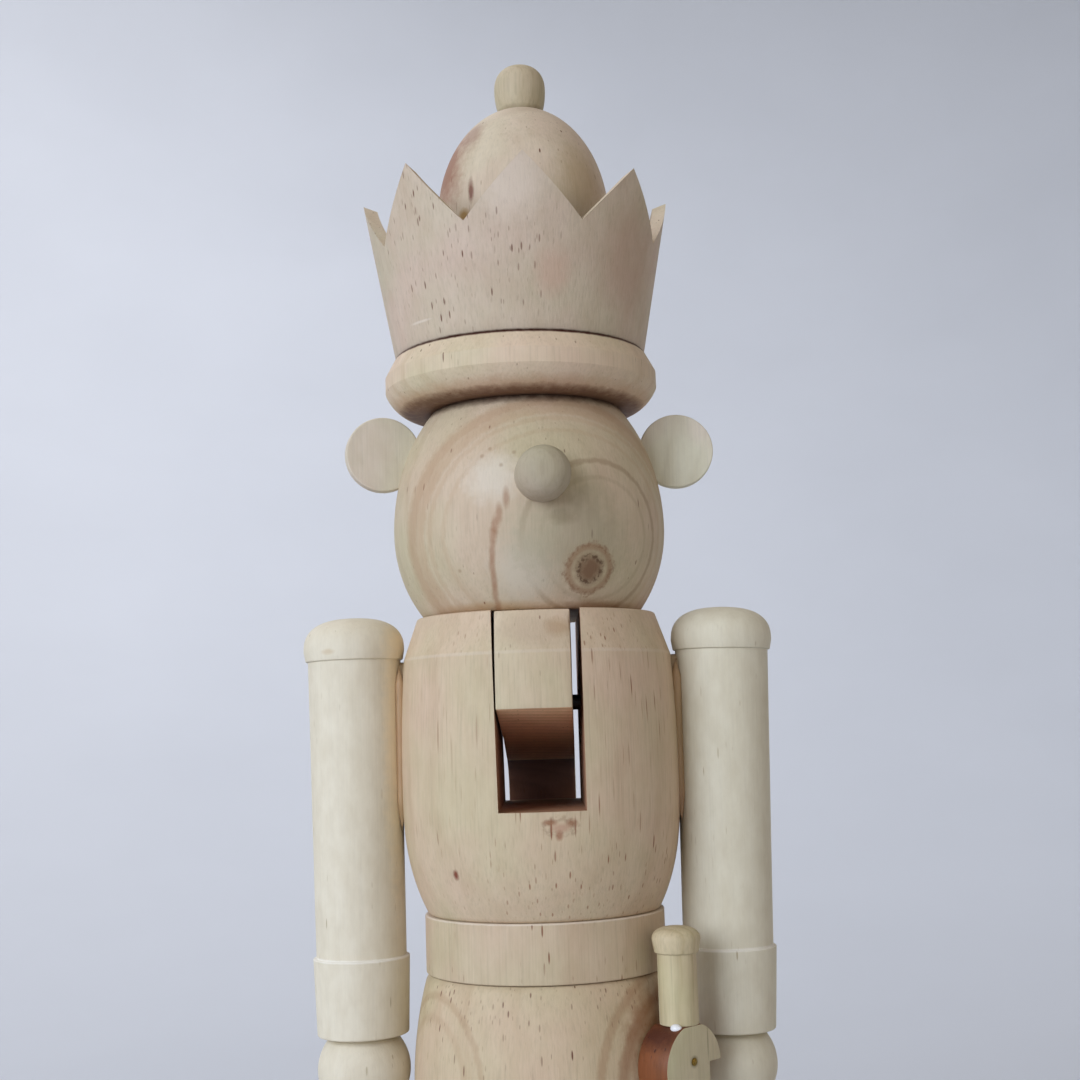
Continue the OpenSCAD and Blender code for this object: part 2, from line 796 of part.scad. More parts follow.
module arm_with_seat(lean) {
    difference() {
        translate([arm_x, 0, seat_z])
            rotate([0, lean, 0])
                arm();
        torso_blank(seat_gap);
        bar_x(0, torso_max_r + arm_dowel_in, 0, torso_z0 + arm_dowel_z, dowel_r + glue_gap);
    }
}

module left_arm() {
    color("wheat")
        arm_with_seat(left_lean);
}

module right_arm() {
    color("wheat")
        mirror([1, 0, 0])
            arm_with_seat(right_lean);
}

module sword_guard() {
    color("sienna")
        at_guard()
            difference() {
                bar_x(guard_x, guard_x + guard_t, guard_shift, guard_cz, guard_d / 2);
                translate([guard_x - overrun, guard_shift + notch_edge, guard_cz - guard_d])
                    cube([guard_t + 2 * overrun, guard_d, guard_d + notch_top_z]);
                translate([guard_x - overrun, guard_shift - guard_d, guard_top_z])
                    cube([guard_t + 2 * overrun, 2 * guard_d, guard_d]);
                bar_z(guard_mid_x, grip_y, guard_top_z - grip_peg_l - glue_gap, guard_top_z + overrun,
                      grip_peg_r + glue_gap);
                translate([guard_mid_x - blade_t / 2 - glue_gap, blade_y - blade_w / 2 - glue_gap,
                           guard_cz - guard_d])
                    cube([blade_t + 2 * glue_gap, blade_w + 2 * glue_gap, blade_top_z - guard_cz + guard_d]);
                bar_x(guard_x - overrun, guard_x + guard_t + overrun, nail_y, nail_cz, nail_r + drive_gap);
            }
}

module sword_grip() {
    color("wheat")
        at_guard()
            translate([guard_mid_x, grip_y, guard_top_z])
                turned(concat([[0, -grip_peg_l], [grip_peg_r, -grip_peg_l], [grip_peg_r, 0], [grip_r, 0],
                               [grip_r, grip_h]],
                              cap_curve(pommel_r, grip_h + pommel_h * pommel_full_share,
                                        grip_h + pommel_h, knob_power)));
}

module sword_blade() {
    color("wheat")
        at_guard()
            translate([guard_mid_x - blade_t / 2, blade_y, 0])
                rotate([90, 0, 90])
                    linear_extrude(height = blade_t)
                        polygon([[-blade_w / 2, blade_top_z], [-blade_w / 2, blade_end_z + blade_point],
                                 [0, blade_end_z], [blade_w / 2, blade_end_z + blade_point],
                                 [blade_w / 2, blade_top_z]]);
}

module guard_nail() {
    face_x = guard_x + guard_t;
    color("gold")
        at_guard() {
            bar_x(guard_x - nail_depth, face_x, nail_y, nail_cz, nail_r);
            bar_x(face_x, face_x + nail_head_h, nail_y, nail_cz, nail_head_r);
        }
}

module head_dowels() {
    color("khaki")
        both_sides()
            bar_z(head_dowel_x, head_dowel_y, head_z0 - dowel_l, head_z0 + dowel_l, dowel_r);
}

module arm_dowels() {
    color("khaki")
        both_sides()
            bar_x(torso_max_r - arm_dowel_in, torso_max_r + arm_dowel_in, 0, torso_z0 + arm_dowel_z, dowel_r);
}

module waist_dowel() {
    color("khaki")
        bar_z(0, 0, belt_z0 - dowel_l, torso_z0 + dowel_l, waist_dowel_r);
}

module leg_dowels() {
    color("khaki")
        both_sides()
            bar_z(leg_x, 0, hips_z0 - dowel_l, hips_z0 + dowel_l, dowel_r);
}

module base_dowels() {
    color("khaki")
        both_sides()
            bar_z(leg_x, 0, base_h - dowel_l, leg_z0 + dowel_l, dowel_r);
}

module crown_dowel() {
    color("khaki")
        bar_z(0, 0, ring_z0 - dowel_l, dome_z0 + dowel_l, dowel_r);
}

base();
left_foot();
right_foot();
left_leg();
right_leg();
hips();
belt();
torso();
jaw_lever();
jaw_pin();
head();
nose();
left_ear();
right_ear();
crown_ring();
crown();
crown_dome();
finial();
left_arm();
right_arm();
sword_guard();
sword_grip();
sword_blade();
guard_nail();
head_dowels();
arm_dowels();
waist_dowel();
leg_dowels();
base_dowels();
crown_dowel();
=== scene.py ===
import math

import bmesh
import bpy
from mathutils import Matrix, Vector


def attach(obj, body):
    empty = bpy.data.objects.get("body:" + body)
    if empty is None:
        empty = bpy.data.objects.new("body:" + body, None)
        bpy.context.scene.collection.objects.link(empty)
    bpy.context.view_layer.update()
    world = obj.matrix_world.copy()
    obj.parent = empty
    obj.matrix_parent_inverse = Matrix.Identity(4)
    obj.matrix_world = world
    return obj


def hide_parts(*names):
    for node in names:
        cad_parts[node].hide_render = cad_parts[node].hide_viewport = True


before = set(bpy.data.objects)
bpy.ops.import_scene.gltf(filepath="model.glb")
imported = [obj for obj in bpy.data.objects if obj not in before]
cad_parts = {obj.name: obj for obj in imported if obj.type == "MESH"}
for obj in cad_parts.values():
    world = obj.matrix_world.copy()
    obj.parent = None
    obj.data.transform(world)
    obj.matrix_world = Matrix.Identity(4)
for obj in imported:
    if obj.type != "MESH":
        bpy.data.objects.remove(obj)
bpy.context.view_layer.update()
scene = bpy.context.scene

# Base block
# A sawn and sanded rubberwood board with a chamfer round its top, on which the figure stands.
# Its grain runs from side to side; a bevel softens the sawn edges.
MM = 0.001
VECTOR, NOISE = "ShaderNodeVectorMath", "ShaderNodeTexNoise"
RAMP, ROTATE = "ShaderNodeValToRGB", "ShaderNodeVectorRotate"


def linear(code):
    """An sRGB hex colour as linear RGBA."""
    parts = [int(code[i:i + 2], 16) / 255 for i in (0, 2, 4)]
    return (*[c / 12.92 if c <= 0.04045 else ((c + 0.055) / 1.055) ** 2.4 for c in parts], 1.0)


def add(tree, kind, inputs=None, out=0, stops=(), **settings):
    """Adds a node with its settings and gives one of its outputs, or all of them where out is None.
    An input is a value, or another node's output to link. stops are a ramp's (place, grey or hex)."""
    node = tree.nodes.new(kind)
    for key, value in settings.items():
        setattr(node, key, value)
    for key, value in (inputs or {}).items():
        if isinstance(value, bpy.types.NodeSocket):
            tree.links.new(value, node.inputs[key])
        else:
            node.inputs[key].default_value = value
    bar = node.color_ramp.elements if stops else []
    while len(bar) < len(stops):
        bar.new(0.5)
    for spot, (place, tone) in zip(bar, stops):
        spot.position = place
        spot.color = linear(tone) if isinstance(tone, str) else (tone, tone, tone, 1)
    return node.outputs if out is None else node.outputs[out]


def math_node(tree, operation, *values, **settings):
    """One operation on values, each a number or another node's output."""
    return add(tree, "ShaderNodeMath", dict(enumerate(values)), operation=operation, **settings)


def vector_node(tree, operation, *values, out=0):
    """The same for vectors."""
    return add(tree, VECTOR, dict(enumerate(values)), out, operation=operation)


def mix_node(tree, share, under, over, blend="MIX"):
    """A share of one colour over another."""
    inputs = {0: share, 6: under, 7: over}
    return add(tree, "ShaderNodeMix", inputs, out=2, data_type="RGBA", blend_type=blend)


def bare(name):
    """A new material, its nodes, its shader and the place on the piece that its patterns read, in mm."""
    material = bpy.data.materials.new(name)
    material.use_nodes = True
    t = material.node_tree
    place = add(t, "ShaderNodeTexCoord", out="Object")
    place = add(t, VECTOR, {0: place, "Scale": 1 / MM}, operation="SCALE")
    return material, t, t.nodes["Principled BSDF"], place


def wood(name, early, late, log, ring=5.0, bands=0.4, streaks=0.6, pores=0.5, pore="6E4936", pore_l=7.0,
         pore_at=None, lean=3.0, grain="z", rough=0.6, cast=("FFF5F0", "F6F6E8"), marks=()):
    """Sanded bare wood: pale and dull, with soft year bands, fine fibres and, in rubberwood, dark pores.
    log is where the tree's pith lies from the origin across the grain, in mm, and ring is a year's growth.
    cast holds two tints that drift into each other. pore_at is (centre, reach) where pores gather.
    marks are knots, stains, seams, painted highlights and painted shade: centre, size, colour, strength and
    shell, which is 0 for a filled mark, the thickness of a hollow one, or less than 0 for a hollow one that
    is broken up into specks.
    Every pattern's scale is in cells per mm."""
    material, t, shader, place = bare(name)
    fibre = place
    if grain == "x":
        fibre = add(t, ROTATE, {"Vector": place, "Angle": math.pi / 2}, rotation_type="Y_AXIS")

    # year rings: the distance from the pith, bent by growth that wanders a few mm in every 30
    growth, wander = 0.03, (6, 6, 0)
    bent = add(t, NOISE, {"Vector": fibre, "Scale": growth, "Detail": 2.0}, out="Color")
    bent = vector_node(t, "SUBTRACT", bent, (0.5, 0.5, 0.5))
    bent = vector_node(t, "MULTIPLY_ADD", bent, wander, fibre)
    bent = add(t, ROTATE, {"Vector": bent, "Angle": math.radians(lean)}, rotation_type="X_AXIS")
    bent = vector_node(t, "SUBTRACT", bent, (log[0], log[1], 0))
    bent = vector_node(t, "MULTIPLY", bent, (1, 1, 0))
    year = vector_node(t, "LENGTH", bent, out="Value")
    year = math_node(t, "DIVIDE", year, ring)
    year = math_node(t, "FRACT", year)
    latewood = add(t, RAMP, {"Fac": year},
                   stops=[(0.0, 0.3), (0.1, 0.0), (0.55, 0.2), (0.9, 1.0), (1.0, 0.3)])

    # the rings show more in some patches, about 35 mm wide, than in others
    patch = add(t, NOISE, {"Vector": fibre, "Scale": 0.028, "Detail": 3.0})
    patch = add(t, RAMP, {"Fac": patch}, stops=[(0.35, 0.0), (0.65, 1.0)])
    shown = math_node(t, "MULTIPLY_ADD", patch, bands * 0.8, bands * 0.2)
    shown = math_node(t, "MULTIPLY", latewood, shown)
    colour = mix_node(t, shown, linear(early), linear(late))

    # over them lie a drift between two tints, 22 mm wide, mottling from sanding, 3 by 6 mm,
    # and fibres along the grain, half a mm by 20 mm
    deep, middling = 1 - 0.24 * streaks, 1 - 0.05 * streaks
    for cells, detail, grit, stops in (
            ((0.045,) * 3, 3.0, 0.5, [(0.35, cast[0]), (0.65, cast[1])]),
            ((0.34, 0.34, 0.16), 4.0, 0.6, [(0.32, "F6F4F1"), (0.66, "FFFFFF")]),
            ((2.2, 2.2, 0.05), 4.0, 0.6, [(0.28, deep), (0.5, middling), (0.7, 1.0)])):
        layer = vector_node(t, "MULTIPLY", fibre, cells)
        layer = add(t, NOISE, {"Vector": layer, "Scale": 1.0, "Detail": detail, "Roughness": grit})
        tone = add(t, RAMP, {"Fac": layer}, stops=stops)
        colour = mix_node(t, 1.0, colour, tone, "MULTIPLY")
    fibres = height = layer

    # pores: needles along the grain, drawn about 1 mm and 0.7 mm apart, each with its own darkness;
    # real ones are finer, and would not show
    if pores and pore_at:
        away = vector_node(t, "DISTANCE", place, pore_at[0], out="Value")
        away = math_node(t, "DIVIDE", away, pore_at[1])
        gather = add(t, RAMP, {"Fac": away}, stops=[(0.5, 1.0), (1.0, 0.12)])
    elif pores:
        gather = add(t, NOISE, {"Vector": fibre, "Scale": 0.07, "Detail": 1.0})
        gather = add(t, RAMP, {"Fac": gather}, stops=[(0.36, 0.1), (0.52, 1.0)])
    coarse, fine = (1.05, pore_l, pores, 0.9), (0.7, 0.6 * pore_l, pores * 0.8, 0.45)
    for apart, long, share, dark in (coarse, fine) if pores else ():
        needle = vector_node(t, "MULTIPLY", fibre, (1 / apart, 1 / apart, 1 / long))
        needle = add(t, "ShaderNodeTexVoronoi", {"Vector": needle, "Scale": 1.0}, out=None)
        hit = add(t, RAMP, {"Fac": needle["Distance"]}, stops=[(0.13, 1.0), (0.22, 0.0)])
        pick = add(t, "ShaderNodeSeparateColor", {"Color": needle["Color"]}, out=None)
        shown = math_node(t, "GREATER_THAN", pick[0], 1 - share)
        for part in (gather, pick[1]):
            shown = math_node(t, "MULTIPLY", shown, part)
        hit = math_node(t, "MULTIPLY", hit, shown)
        height = math_node(t, "MULTIPLY_ADD", hit, -0.7, height)
        hit = math_node(t, "MULTIPLY", hit, dark * 1.3, use_clamp=True)
        colour = mix_node(t, hit, colour, linear(pore))

    # knots, stains, seams, painted highlights and painted shade, frayed at their edges every 2 mm or so
    fray = add(t, NOISE, {"Vector": place, "Scale": 0.5, "Detail": 4.0, "Roughness": 0.65})
    fray = math_node(t, "SUBTRACT", fray, 0.5)
    specks = add(t, NOISE, {"Vector": place, "Scale": 1.3, "Detail": 3.0})
    specks = add(t, RAMP, {"Fac": specks}, stops=[(0.44, 0.1), (0.56, 1.0)])
    for centre, size, stain, amount, shell in marks:
        spot = vector_node(t, "SUBTRACT", place, centre)
        spot = vector_node(t, "DIVIDE", spot, size)
        away = vector_node(t, "LENGTH", spot, out="Value")
        away = math_node(t, "MULTIPLY_ADD", fray, 0.07 if shell > 0 else 0.7, away)
        if shell:
            away = math_node(t, "SUBTRACT", away, 1.0)
            away = math_node(t, "ABSOLUTE", away)
            away = math_node(t, "DIVIDE", away, abs(shell))
        near = add(t, RAMP, {"Fac": away}, stops=[(0.35, 1.0), (0.75, 0.4), (1.25, 0.0)])
        if shell < 0:
            near = math_node(t, "MULTIPLY", near, specks)
        near = math_node(t, "MULTIPLY", near, amount)
        colour = mix_node(t, near, colour, linear(stain))

    gloss = math_node(t, "MULTIPLY_ADD", fibres, 0.16, rough - 0.08)
    bump = add(t, "ShaderNodeBump", {"Height": height, "Strength": 0.3, "Distance": 0.2 * MM})
    for label, value in (("Base Color", colour), ("Roughness", gloss), ("Normal", bump)):
        t.links.new(value, shader.inputs[label])
    shader.inputs["Specular IOR Level"].default_value = 0.3
    return material


def link(name, mesh):
    """A new object at the origin, whose place is in its mesh."""
    piece = bpy.data.objects.new(name, mesh)
    scene.collection.objects.link(piece)
    return piece


def skin(name, loops, material):
    """A closed skin over loops of points in mm, with a flat face on the first loop and on the last."""
    count = len(loops[0])
    rows = [[k * count + i for i in range(count)] for k in range(len(loops))]
    faces = [[low[i], low[(i + 1) % count], high[(i + 1) % count], high[i]]
             for low, high in zip(rows, rows[1:]) for i in range(count)]
    mesh = bpy.data.meshes.new(name)
    mesh.from_pydata([(x * MM, y * MM, z * MM) for loop in loops for x, y, z in loop], [],
                     faces + [rows[0][::-1], rows[-1]])
    shell = bmesh.new()
    shell.from_mesh(mesh)
    bmesh.ops.recalc_face_normals(shell, faces=shell.faces)
    shell.to_mesh(mesh)
    shell.free()
    mesh.materials.append(material)
    return link(name, mesh)


def bake(piece):
    """Turns the piece's modifiers into plain mesh, with sharp edges kept sharp."""
    graph = bpy.context.evaluated_depsgraph_get()
    mesh = bpy.data.meshes.new_from_object(piece.evaluated_get(graph))
    piece.modifiers.clear()
    piece.data = mesh
    if mesh.materials[0] is None:
        mesh.materials.pop(index=0)
    mesh.polygons.foreach_set("use_smooth", [True] * len(mesh.polygons))
    mesh.set_sharp_from_angle(angle=math.radians(32))
    return piece


def soften(piece, width, rounds=2):
    """Rounds the piece's sharp edges by a small width in mm."""
    edge = piece.modifiers.new("edge", "BEVEL")
    edge.width = width * MM
    edge.segments = rounds
    edge.limit_method = "ANGLE"
    edge.angle_limit = math.radians(35)
    return bake(piece)


def fit(piece, node, body="figure"):
    """The piece stands for a CAD node, whose solid it hides, and moves with its body."""
    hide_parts(node)
    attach(piece, body)
    return piece


base_wood = wood("rubberwood board", "CDBAA2", "AD9178", log=(-52, -18), ring=6.5, bands=0.7, pores=0.45,
                 grain="x")
base_w, base_d, base_h, base_edge, base_ease = 108, 90, 22, 3, 0.6
corners = ((1, 1), (-1, 1), (-1, -1), (1, -1))
loops = [[(x * (base_w / 2 - inset), y * (base_d / 2 - inset), z) for x, y in corners]
         for z, inset in ((0, 0), (base_h - base_edge, 0), (base_h, base_edge))]
fit(soften(skin("base_block", loops, base_wood), base_ease, 3), "base")

# Feet
# Two rubberwood shoes with round heels and toes, sawn to shape and sanded over at the top.
# Each is one skin: loops of the plan's outline, drawn in towards its middle line.
foot_wood = wood("rubberwood foot", "CEBBA5", "B0957C", log=(6, 70), ring=5, bands=0.6, pores=0.4)
foot_r, foot_h, toe_h, toe_reach, foot_round, sole_edge = 12.5, 13, 6, 18, 2.2, 0.3
upper_insets = [4, 6, 8, 10, 11.5, 12.4]
leg_x = 14.7


def steps(low, high, count):
    """Evenly spaced values from low to high, with both of them."""
    return [low + (high - low) * i / count for i in range(count + 1)]


def shoe_top(y):
    """Height of a shoe: level under the leg, then down to the toe."""
    along = min(max((-y - foot_r) / toe_reach, 0), 1)
    return toe_h + (foot_h - toe_h) * math.sqrt(1 - along * along)


def shoe_loop(inset):
    """The plan's outline, drawn in by inset."""
    r = foot_r - inset
    half = [(r * math.cos(a), r * math.sin(a)) for a in steps(0, math.pi, 40)]
    edge = [(-r, y) for y in steps(0, -toe_reach, 16)[1:-1]]
    return half + edge + [(-x, -toe_reach - y) for x, y in half + edge]


for name, side in (("left_foot", 1), ("right_foot", -1)):
    loops = [[(x, y, 0) for x, y in shoe_loop(sole_edge)], [(x, y, sole_edge) for x, y in shoe_loop(0)]]
    for inset in [foot_round * (1 - math.cos(a)) for a in steps(0, math.pi / 2, 8)] + upper_insets:
        fall = foot_round - math.sqrt(foot_round ** 2 - max(foot_round - inset, 0) ** 2)
        loops.append([(x, y, shoe_top(y) - fall) for x, y in shoe_loop(inset)])
    loops = [[(x + side * leg_x, y, z + base_h) for x, y, z in loop] for loop in loops]
    fit(bake(skin(name + "_shoe", loops, foot_wood)), name)

# Legs
# Two rubberwood turnings: a boot shaft, a raised band round its top and the leg above it.
# All turned pieces come from one lathe tree: a profile swept round an axis, a little out of round.


def new_tree(name, sockets, result):
    """A Geometry Nodes tree with named inputs and one result, and the outputs of its input node."""
    t = bpy.data.node_groups.new(name, "GeometryNodeTree")
    for label, kind in sockets.items():
        t.interface.new_socket(label, in_out="INPUT", socket_type="NodeSocket" + kind)
    t.interface.new_socket(result, in_out="OUTPUT", socket_type="NodeSocketGeometry")
    return t, add(t, "NodeGroupInput", out=None)


def lathe_tree():
    """Sweeps the profile's points, in the XZ plane, round the Z axis."""
    sockets = {"Profile": "Geometry", "Segments": "Int", "Unevenness": "Float", "Seed": "Int",
               "Wood": "Material"}
    t, given = new_tree("lathe", sockets, "Turning")
    # a grid with a row for each point of the profile and a column for each step round the axis
    rows = add(t, "GeometryNodeAttributeDomainSize", {"Geometry": given["Profile"]}, out="Point Count")
    columns = math_node(t, "ADD", given["Segments"], 1.0)
    grid = add(t, "GeometryNodeMeshGrid", {"Vertices X": columns, "Vertices Y": rows})
    index = add(t, "GeometryNodeInputIndex")
    column = math_node(t, "DIVIDE", index, rows)
    column = math_node(t, "FLOOR", column)
    row = math_node(t, "MODULO", index, rows)
    where = add(t, "GeometryNodeInputPosition")
    spot = add(t, "GeometryNodeSampleIndex", {"Geometry": given["Profile"], "Value": where, "Index": row},
               out="Value", data_type="FLOAT_VECTOR")
    spot = add(t, "ShaderNodeSeparateXYZ", {0: spot}, out=None)
    angle = math_node(t, "MULTIPLY", column, math.tau)
    angle = math_node(t, "DIVIDE", angle, given["Segments"])
    outward = add(t, "ShaderNodeCombineXYZ", {0: 1.0})
    outward = add(t, ROTATE, {"Vector": outward, "Angle": angle}, rotation_type="Z_AXIS")
    lift = add(t, "ShaderNodeCombineXYZ", {2: spot[2]})
    place = vector_node(t, "MULTIPLY_ADD", outward, spot[0], lift)
    # unevenness in waves about 22 mm long, which fades out within 5 mm of the axis
    noise = add(t, NOISE, {"Vector": place, "W": given["Seed"], "Scale": 0.045 / MM, "Detail": 1.0},
                noise_dimensions="4D")
    noise = math_node(t, "SUBTRACT", noise, 0.5)
    full = add(t, "ShaderNodeMapRange", {"Value": spot[0], "From Max": 5 * MM})
    for part in (given["Unevenness"], full):
        noise = math_node(t, "MULTIPLY", noise, part)
    place = vector_node(t, "MULTIPLY_ADD", outward, noise, place)
    shape = add(t, "GeometryNodeSetPosition", {"Geometry": grid, "Position": place})
    shape = add(t, "GeometryNodeMergeByDistance", {"Geometry": shape, "Distance": 0.002 * MM})
    shape = add(t, "GeometryNodeSetShadeSmooth", {0: shape})
    shape = add(t, "GeometryNodeRealizeInstances", {0: shape})
    shape = add(t, "GeometryNodeSetMaterial", {"Geometry": shape, "Material": given["Wood"]})
    add(t, "NodeGroupOutput", {0: shape}, out=None)
    return t


def run_tree(piece, tree, values):
    """Runs a tree on the piece with its named inputs and keeps the result as plain mesh."""
    step = piece.modifiers.new(tree.name, "NODES")
    step.node_group = tree
    for label, value in values.items():
        step[tree.interface.items_tree[label].identifier] = value
    return bake(piece)


def rounded(corners):
    """A profile in mm from corners (r, z) or (r, z, rounding), dense enough to shade smoothly.
    In the profiles, corners set off from an end by less than a mm ease its edge."""
    line = []
    for i, corner in enumerate(corners):
        b = Vector(corner[:2])
        if len(corner) == 2:
            line.append(b)
            continue
        u, v = Vector(corners[i - 1][:2]) - b, Vector(corners[i + 1][:2]) - b
        half = u.angle(v) / 2
        reach = min(corner[2] / math.tan(half), 0.45 * u.length, 0.45 * v.length)
        r = reach * math.tan(half)
        u, v = u.normalized(), v.normalized()
        middle = b + (u + v).normalized() * (r / math.sin(half))
        start, end = b + u * reach - middle, b + v * reach - middle
        line.append(b + u * reach * 1.1 + u * 0.1)
        line += [middle + start.slerp(end, k / 6) * r for k in range(7)]
        line.append(b + v * reach * 1.1 + v * 0.1)
    dense, spacing = [line[0]], 2.5
    for p in line[1:]:
        first = dense[-1]
        parts = max(1, math.ceil((p - first).length / spacing))
        dense += [first.lerp(p, k / parts) for k in range(1, parts + 1)]
    return [(p.x, p.y) for p in dense]


def turned(name, line, material, place=Matrix(), uneven=0.12, seed=1, segments=224):
    """A piece turned from a profile in mm, then put in its place."""
    mesh = bpy.data.meshes.new(name)
    mesh.from_pydata([(r * MM, 0, z * MM) for r, z in line], [], [])
    piece = run_tree(link(name, mesh), LATHE, {"Segments": segments, "Unevenness": uneven * MM, "Seed": seed,
                                               "Wood": material})
    piece.data.transform(place)
    bpy.data.meshes.remove(mesh)
    return piece


def at(x, y, z):
    """A place in mm."""
    return Matrix.Translation(Vector((x, y, z)) * MM)


LATHE = lathe_tree()
leg_h, leg_foot_r, leg_top_r = 102, 11.6, 12.3
boot_h, boot_foot_r, boot_top_r, band_h, band_r = 46, 11.4, 12.7, 5, 13.7
band_z = boot_h + band_h
leg_line = rounded([(0, 0), (boot_foot_r, 0, 0.4), (boot_top_r, boot_h, 0.3), (band_r, boot_h, 0.8),
                    (band_r, band_z, 0.8), (leg_foot_r, band_z, 0.3), (leg_top_r, leg_h, 0.4), (0, leg_h)])
for name, side, log in (("left_leg", 1, (60, 25)), ("right_leg", -1, (-40, 60))):
    leg_wood = wood("rubberwood " + name.replace("_", " "), "CFBDA8", "B1967D", log=log, ring=4.5, bands=0.6,
                    pores=0.5)
    fit(turned(name + "_turning", leg_line, leg_wood, at(side * leg_x, 0, base_h + foot_h), seed=3 + side),
        name)

# Hips
# A rubberwood turning that swells below the belt, with its flat ends glued to the legs and the belt.
# Growth rings show as arcs at the figure's right and rings of brown stain spread near the sword.
# A dark brown patch round the sword guard is painted shade, and a dark line under the belt is painted shadow.
hips_z, hips_h, hips_max_r, hips_max_z, hips_top_r, hips_foot_r = 137, 35.2, 29.5, 10, 26, 27.4
stain, burr = (30, -14, 150), (-34, -20, 152)
hips_marks = [
    # a dark brown patch on the hips round the sword guard: painted shade where the guard shades them
    ((25, -18, 158), (13, 12, 16), "93623C", 0.85, 0),
    (stain, (19,) * 3, "8E5E3C", 0.5, 0.09), (stain, (24,) * 3, "9C7350", 0.4, 0.06),
    (burr, (21,) * 3, "9C7452", 0.28, 0.05), (burr, (17,) * 3, "A5805E", 0.2, 0.06),
    # a thin dark line at the hips' top, under the belt's edge: painted shadow of the joint
    ((0, 0, hips_z + hips_h), (200, 200, 0.35), "4A2818", 0.7, 0)]
hips_wood = wood("rubberwood hips", "D4C3A8", "B89B7C", log=(-46, 34), ring=8, bands=0.3, pores=0.7, lean=9,
                 marks=hips_marks)


def bulge(r0, z0, r1, z1, power=2.2):
    """Profile points from (r0, z0) to (r1, z1), where the curve runs upright."""
    return [(r0 + (r1 - r0) * (1 - (1 - s) ** power), z0 + (z1 - z0) * s) for s in steps(0, 1, 16)]


low = bulge(hips_foot_r, 0, hips_max_r, hips_max_z)
high = bulge(hips_top_r, hips_h, hips_max_r, hips_max_z)[::-1]
hips_line = rounded([(0, 0), (hips_foot_r - 0.5, 0), (hips_foot_r - 0.15, 0.15)] + low[1:] + high[1:-1]
                    + [(hips_top_r - 0.2, hips_h - 0.35), (hips_top_r - 0.7, hips_h), (0, hips_h)])
fit(turned("hips_turning", hips_line, hips_wood, at(0, 0, hips_z), seed=7), "hips")

# Belt
# A plain rubberwood disc, turned with eased edges and glued between hips and torso.
# Fine flecks show in the wood; a paler band along its upper edge is a painted highlight.
belt_z, belt_h, belt_r = 172.2, 12.4, 26.4
belt_wood = wood("rubberwood belt", "D2C1A8", "B79C80", log=(20, 66), ring=6, bands=0.3, pores=0.6,
                 # the pale band along the belt's upper edge: a painted highlight
                 pore="8A6248", marks=[((0, 0, belt_z + belt_h), (200, 200, 0.4), "E6DAC8", 0.6, 0)])
belt_line = rounded([(0, 0), (belt_r, 0, 0.35), (belt_r, belt_h, 0.35), (0, belt_h)])
fit(turned("belt_disc", belt_line, belt_wood, at(0, 0, belt_z), seed=9), "belt")

# Torso
# A rubberwood barrel turning with a chamfered shoulder, sawn through from front to back for the jaw lever.
# The slot's walls are saw-browned, a little rougher and painted darker as shade inside the slot; a stain and
# a small knot mark the front.
torso_z, torso_h, torso_foot_r, torso_max_r, torso_top_r = 184.6, 64.8, 25.5, 30.9, 26.8
barrel_z, shoulder_z, shoulder_r = 31, 55.6, 30
slot_w, slot_lean, slot_floor, slot_reach = 18.8, 0.6, 22.75, 40
# a faint pale band along the rounded shoulder line: a painted highlight, also laid on the jaw
shoulder_highlight = ((0, 0, 240.3), (200, 200, 0.5), "DDD0BE", 0.22, 0)
torso_marks = [
    shoulder_highlight,
    ((1.7, -30.6, 205.2), (2.0, 4, 0.8), "9C7052", 0.85, 0),
    ((6.1, -30.2, 205.0), (1.6, 4, 1.1), "9C7052", 0.85, 0),
    ((3.9, -30.4, 204.1), (2.5, 4, 1.2), "B88F76", 0.7, 0),
    ((3.6, -30.4, 202.5), (1.0, 4, 1.4), "A2765A", 0.85, 0),
    ((3.9, -30.3, 204.4), (3, 3, 1.6), "744A33", 0.3, -0.5),
    ((-18.1, -22.9, 194.7), (0.9, 1, 1.4), "7A3A26", 0.95, 0)]
torso_wood = wood("rubberwood torso", "D5C4AA", "BAA083", log=(10, 74), ring=7, bands=0.25, pores=0.8,
                  pore="8E6044", pore_l=22, pore_at=((12, -27, 218), 47), marks=torso_marks)
# the slot walls' brown: partly saw browning, partly painted shade inside the slot
slot_wood = wood("saw-browned, shade-darkened rubberwood", "BC9478", "957058", log=(10, 74), ring=5.5, bands=0.6, pores=0.3,
                 rough=0.7)


def torso_radius(z):
    """The barrel's radius at a height above the belt."""
    if z <= barrel_z:
        return torso_foot_r + (torso_max_r - torso_foot_r) * (1 - (1 - z / barrel_z) ** 3)
    if z <= shoulder_z:
        return torso_max_r - (torso_max_r - shoulder_r) * ((z - barrel_z) / (shoulder_z - barrel_z)) ** 2
    return shoulder_r - (shoulder_r - torso_top_r) * (z - shoulder_z) / (torso_h - shoulder_z)


def prism(name, outline, axis, low, high, material):
    """An outline drawn across an axis and carried along it, in mm."""
    k = "xyz".index(axis)
    return skin(name, [[(*p[:k], level, *p[k:]) for p in outline] for level in (low, high)], material)


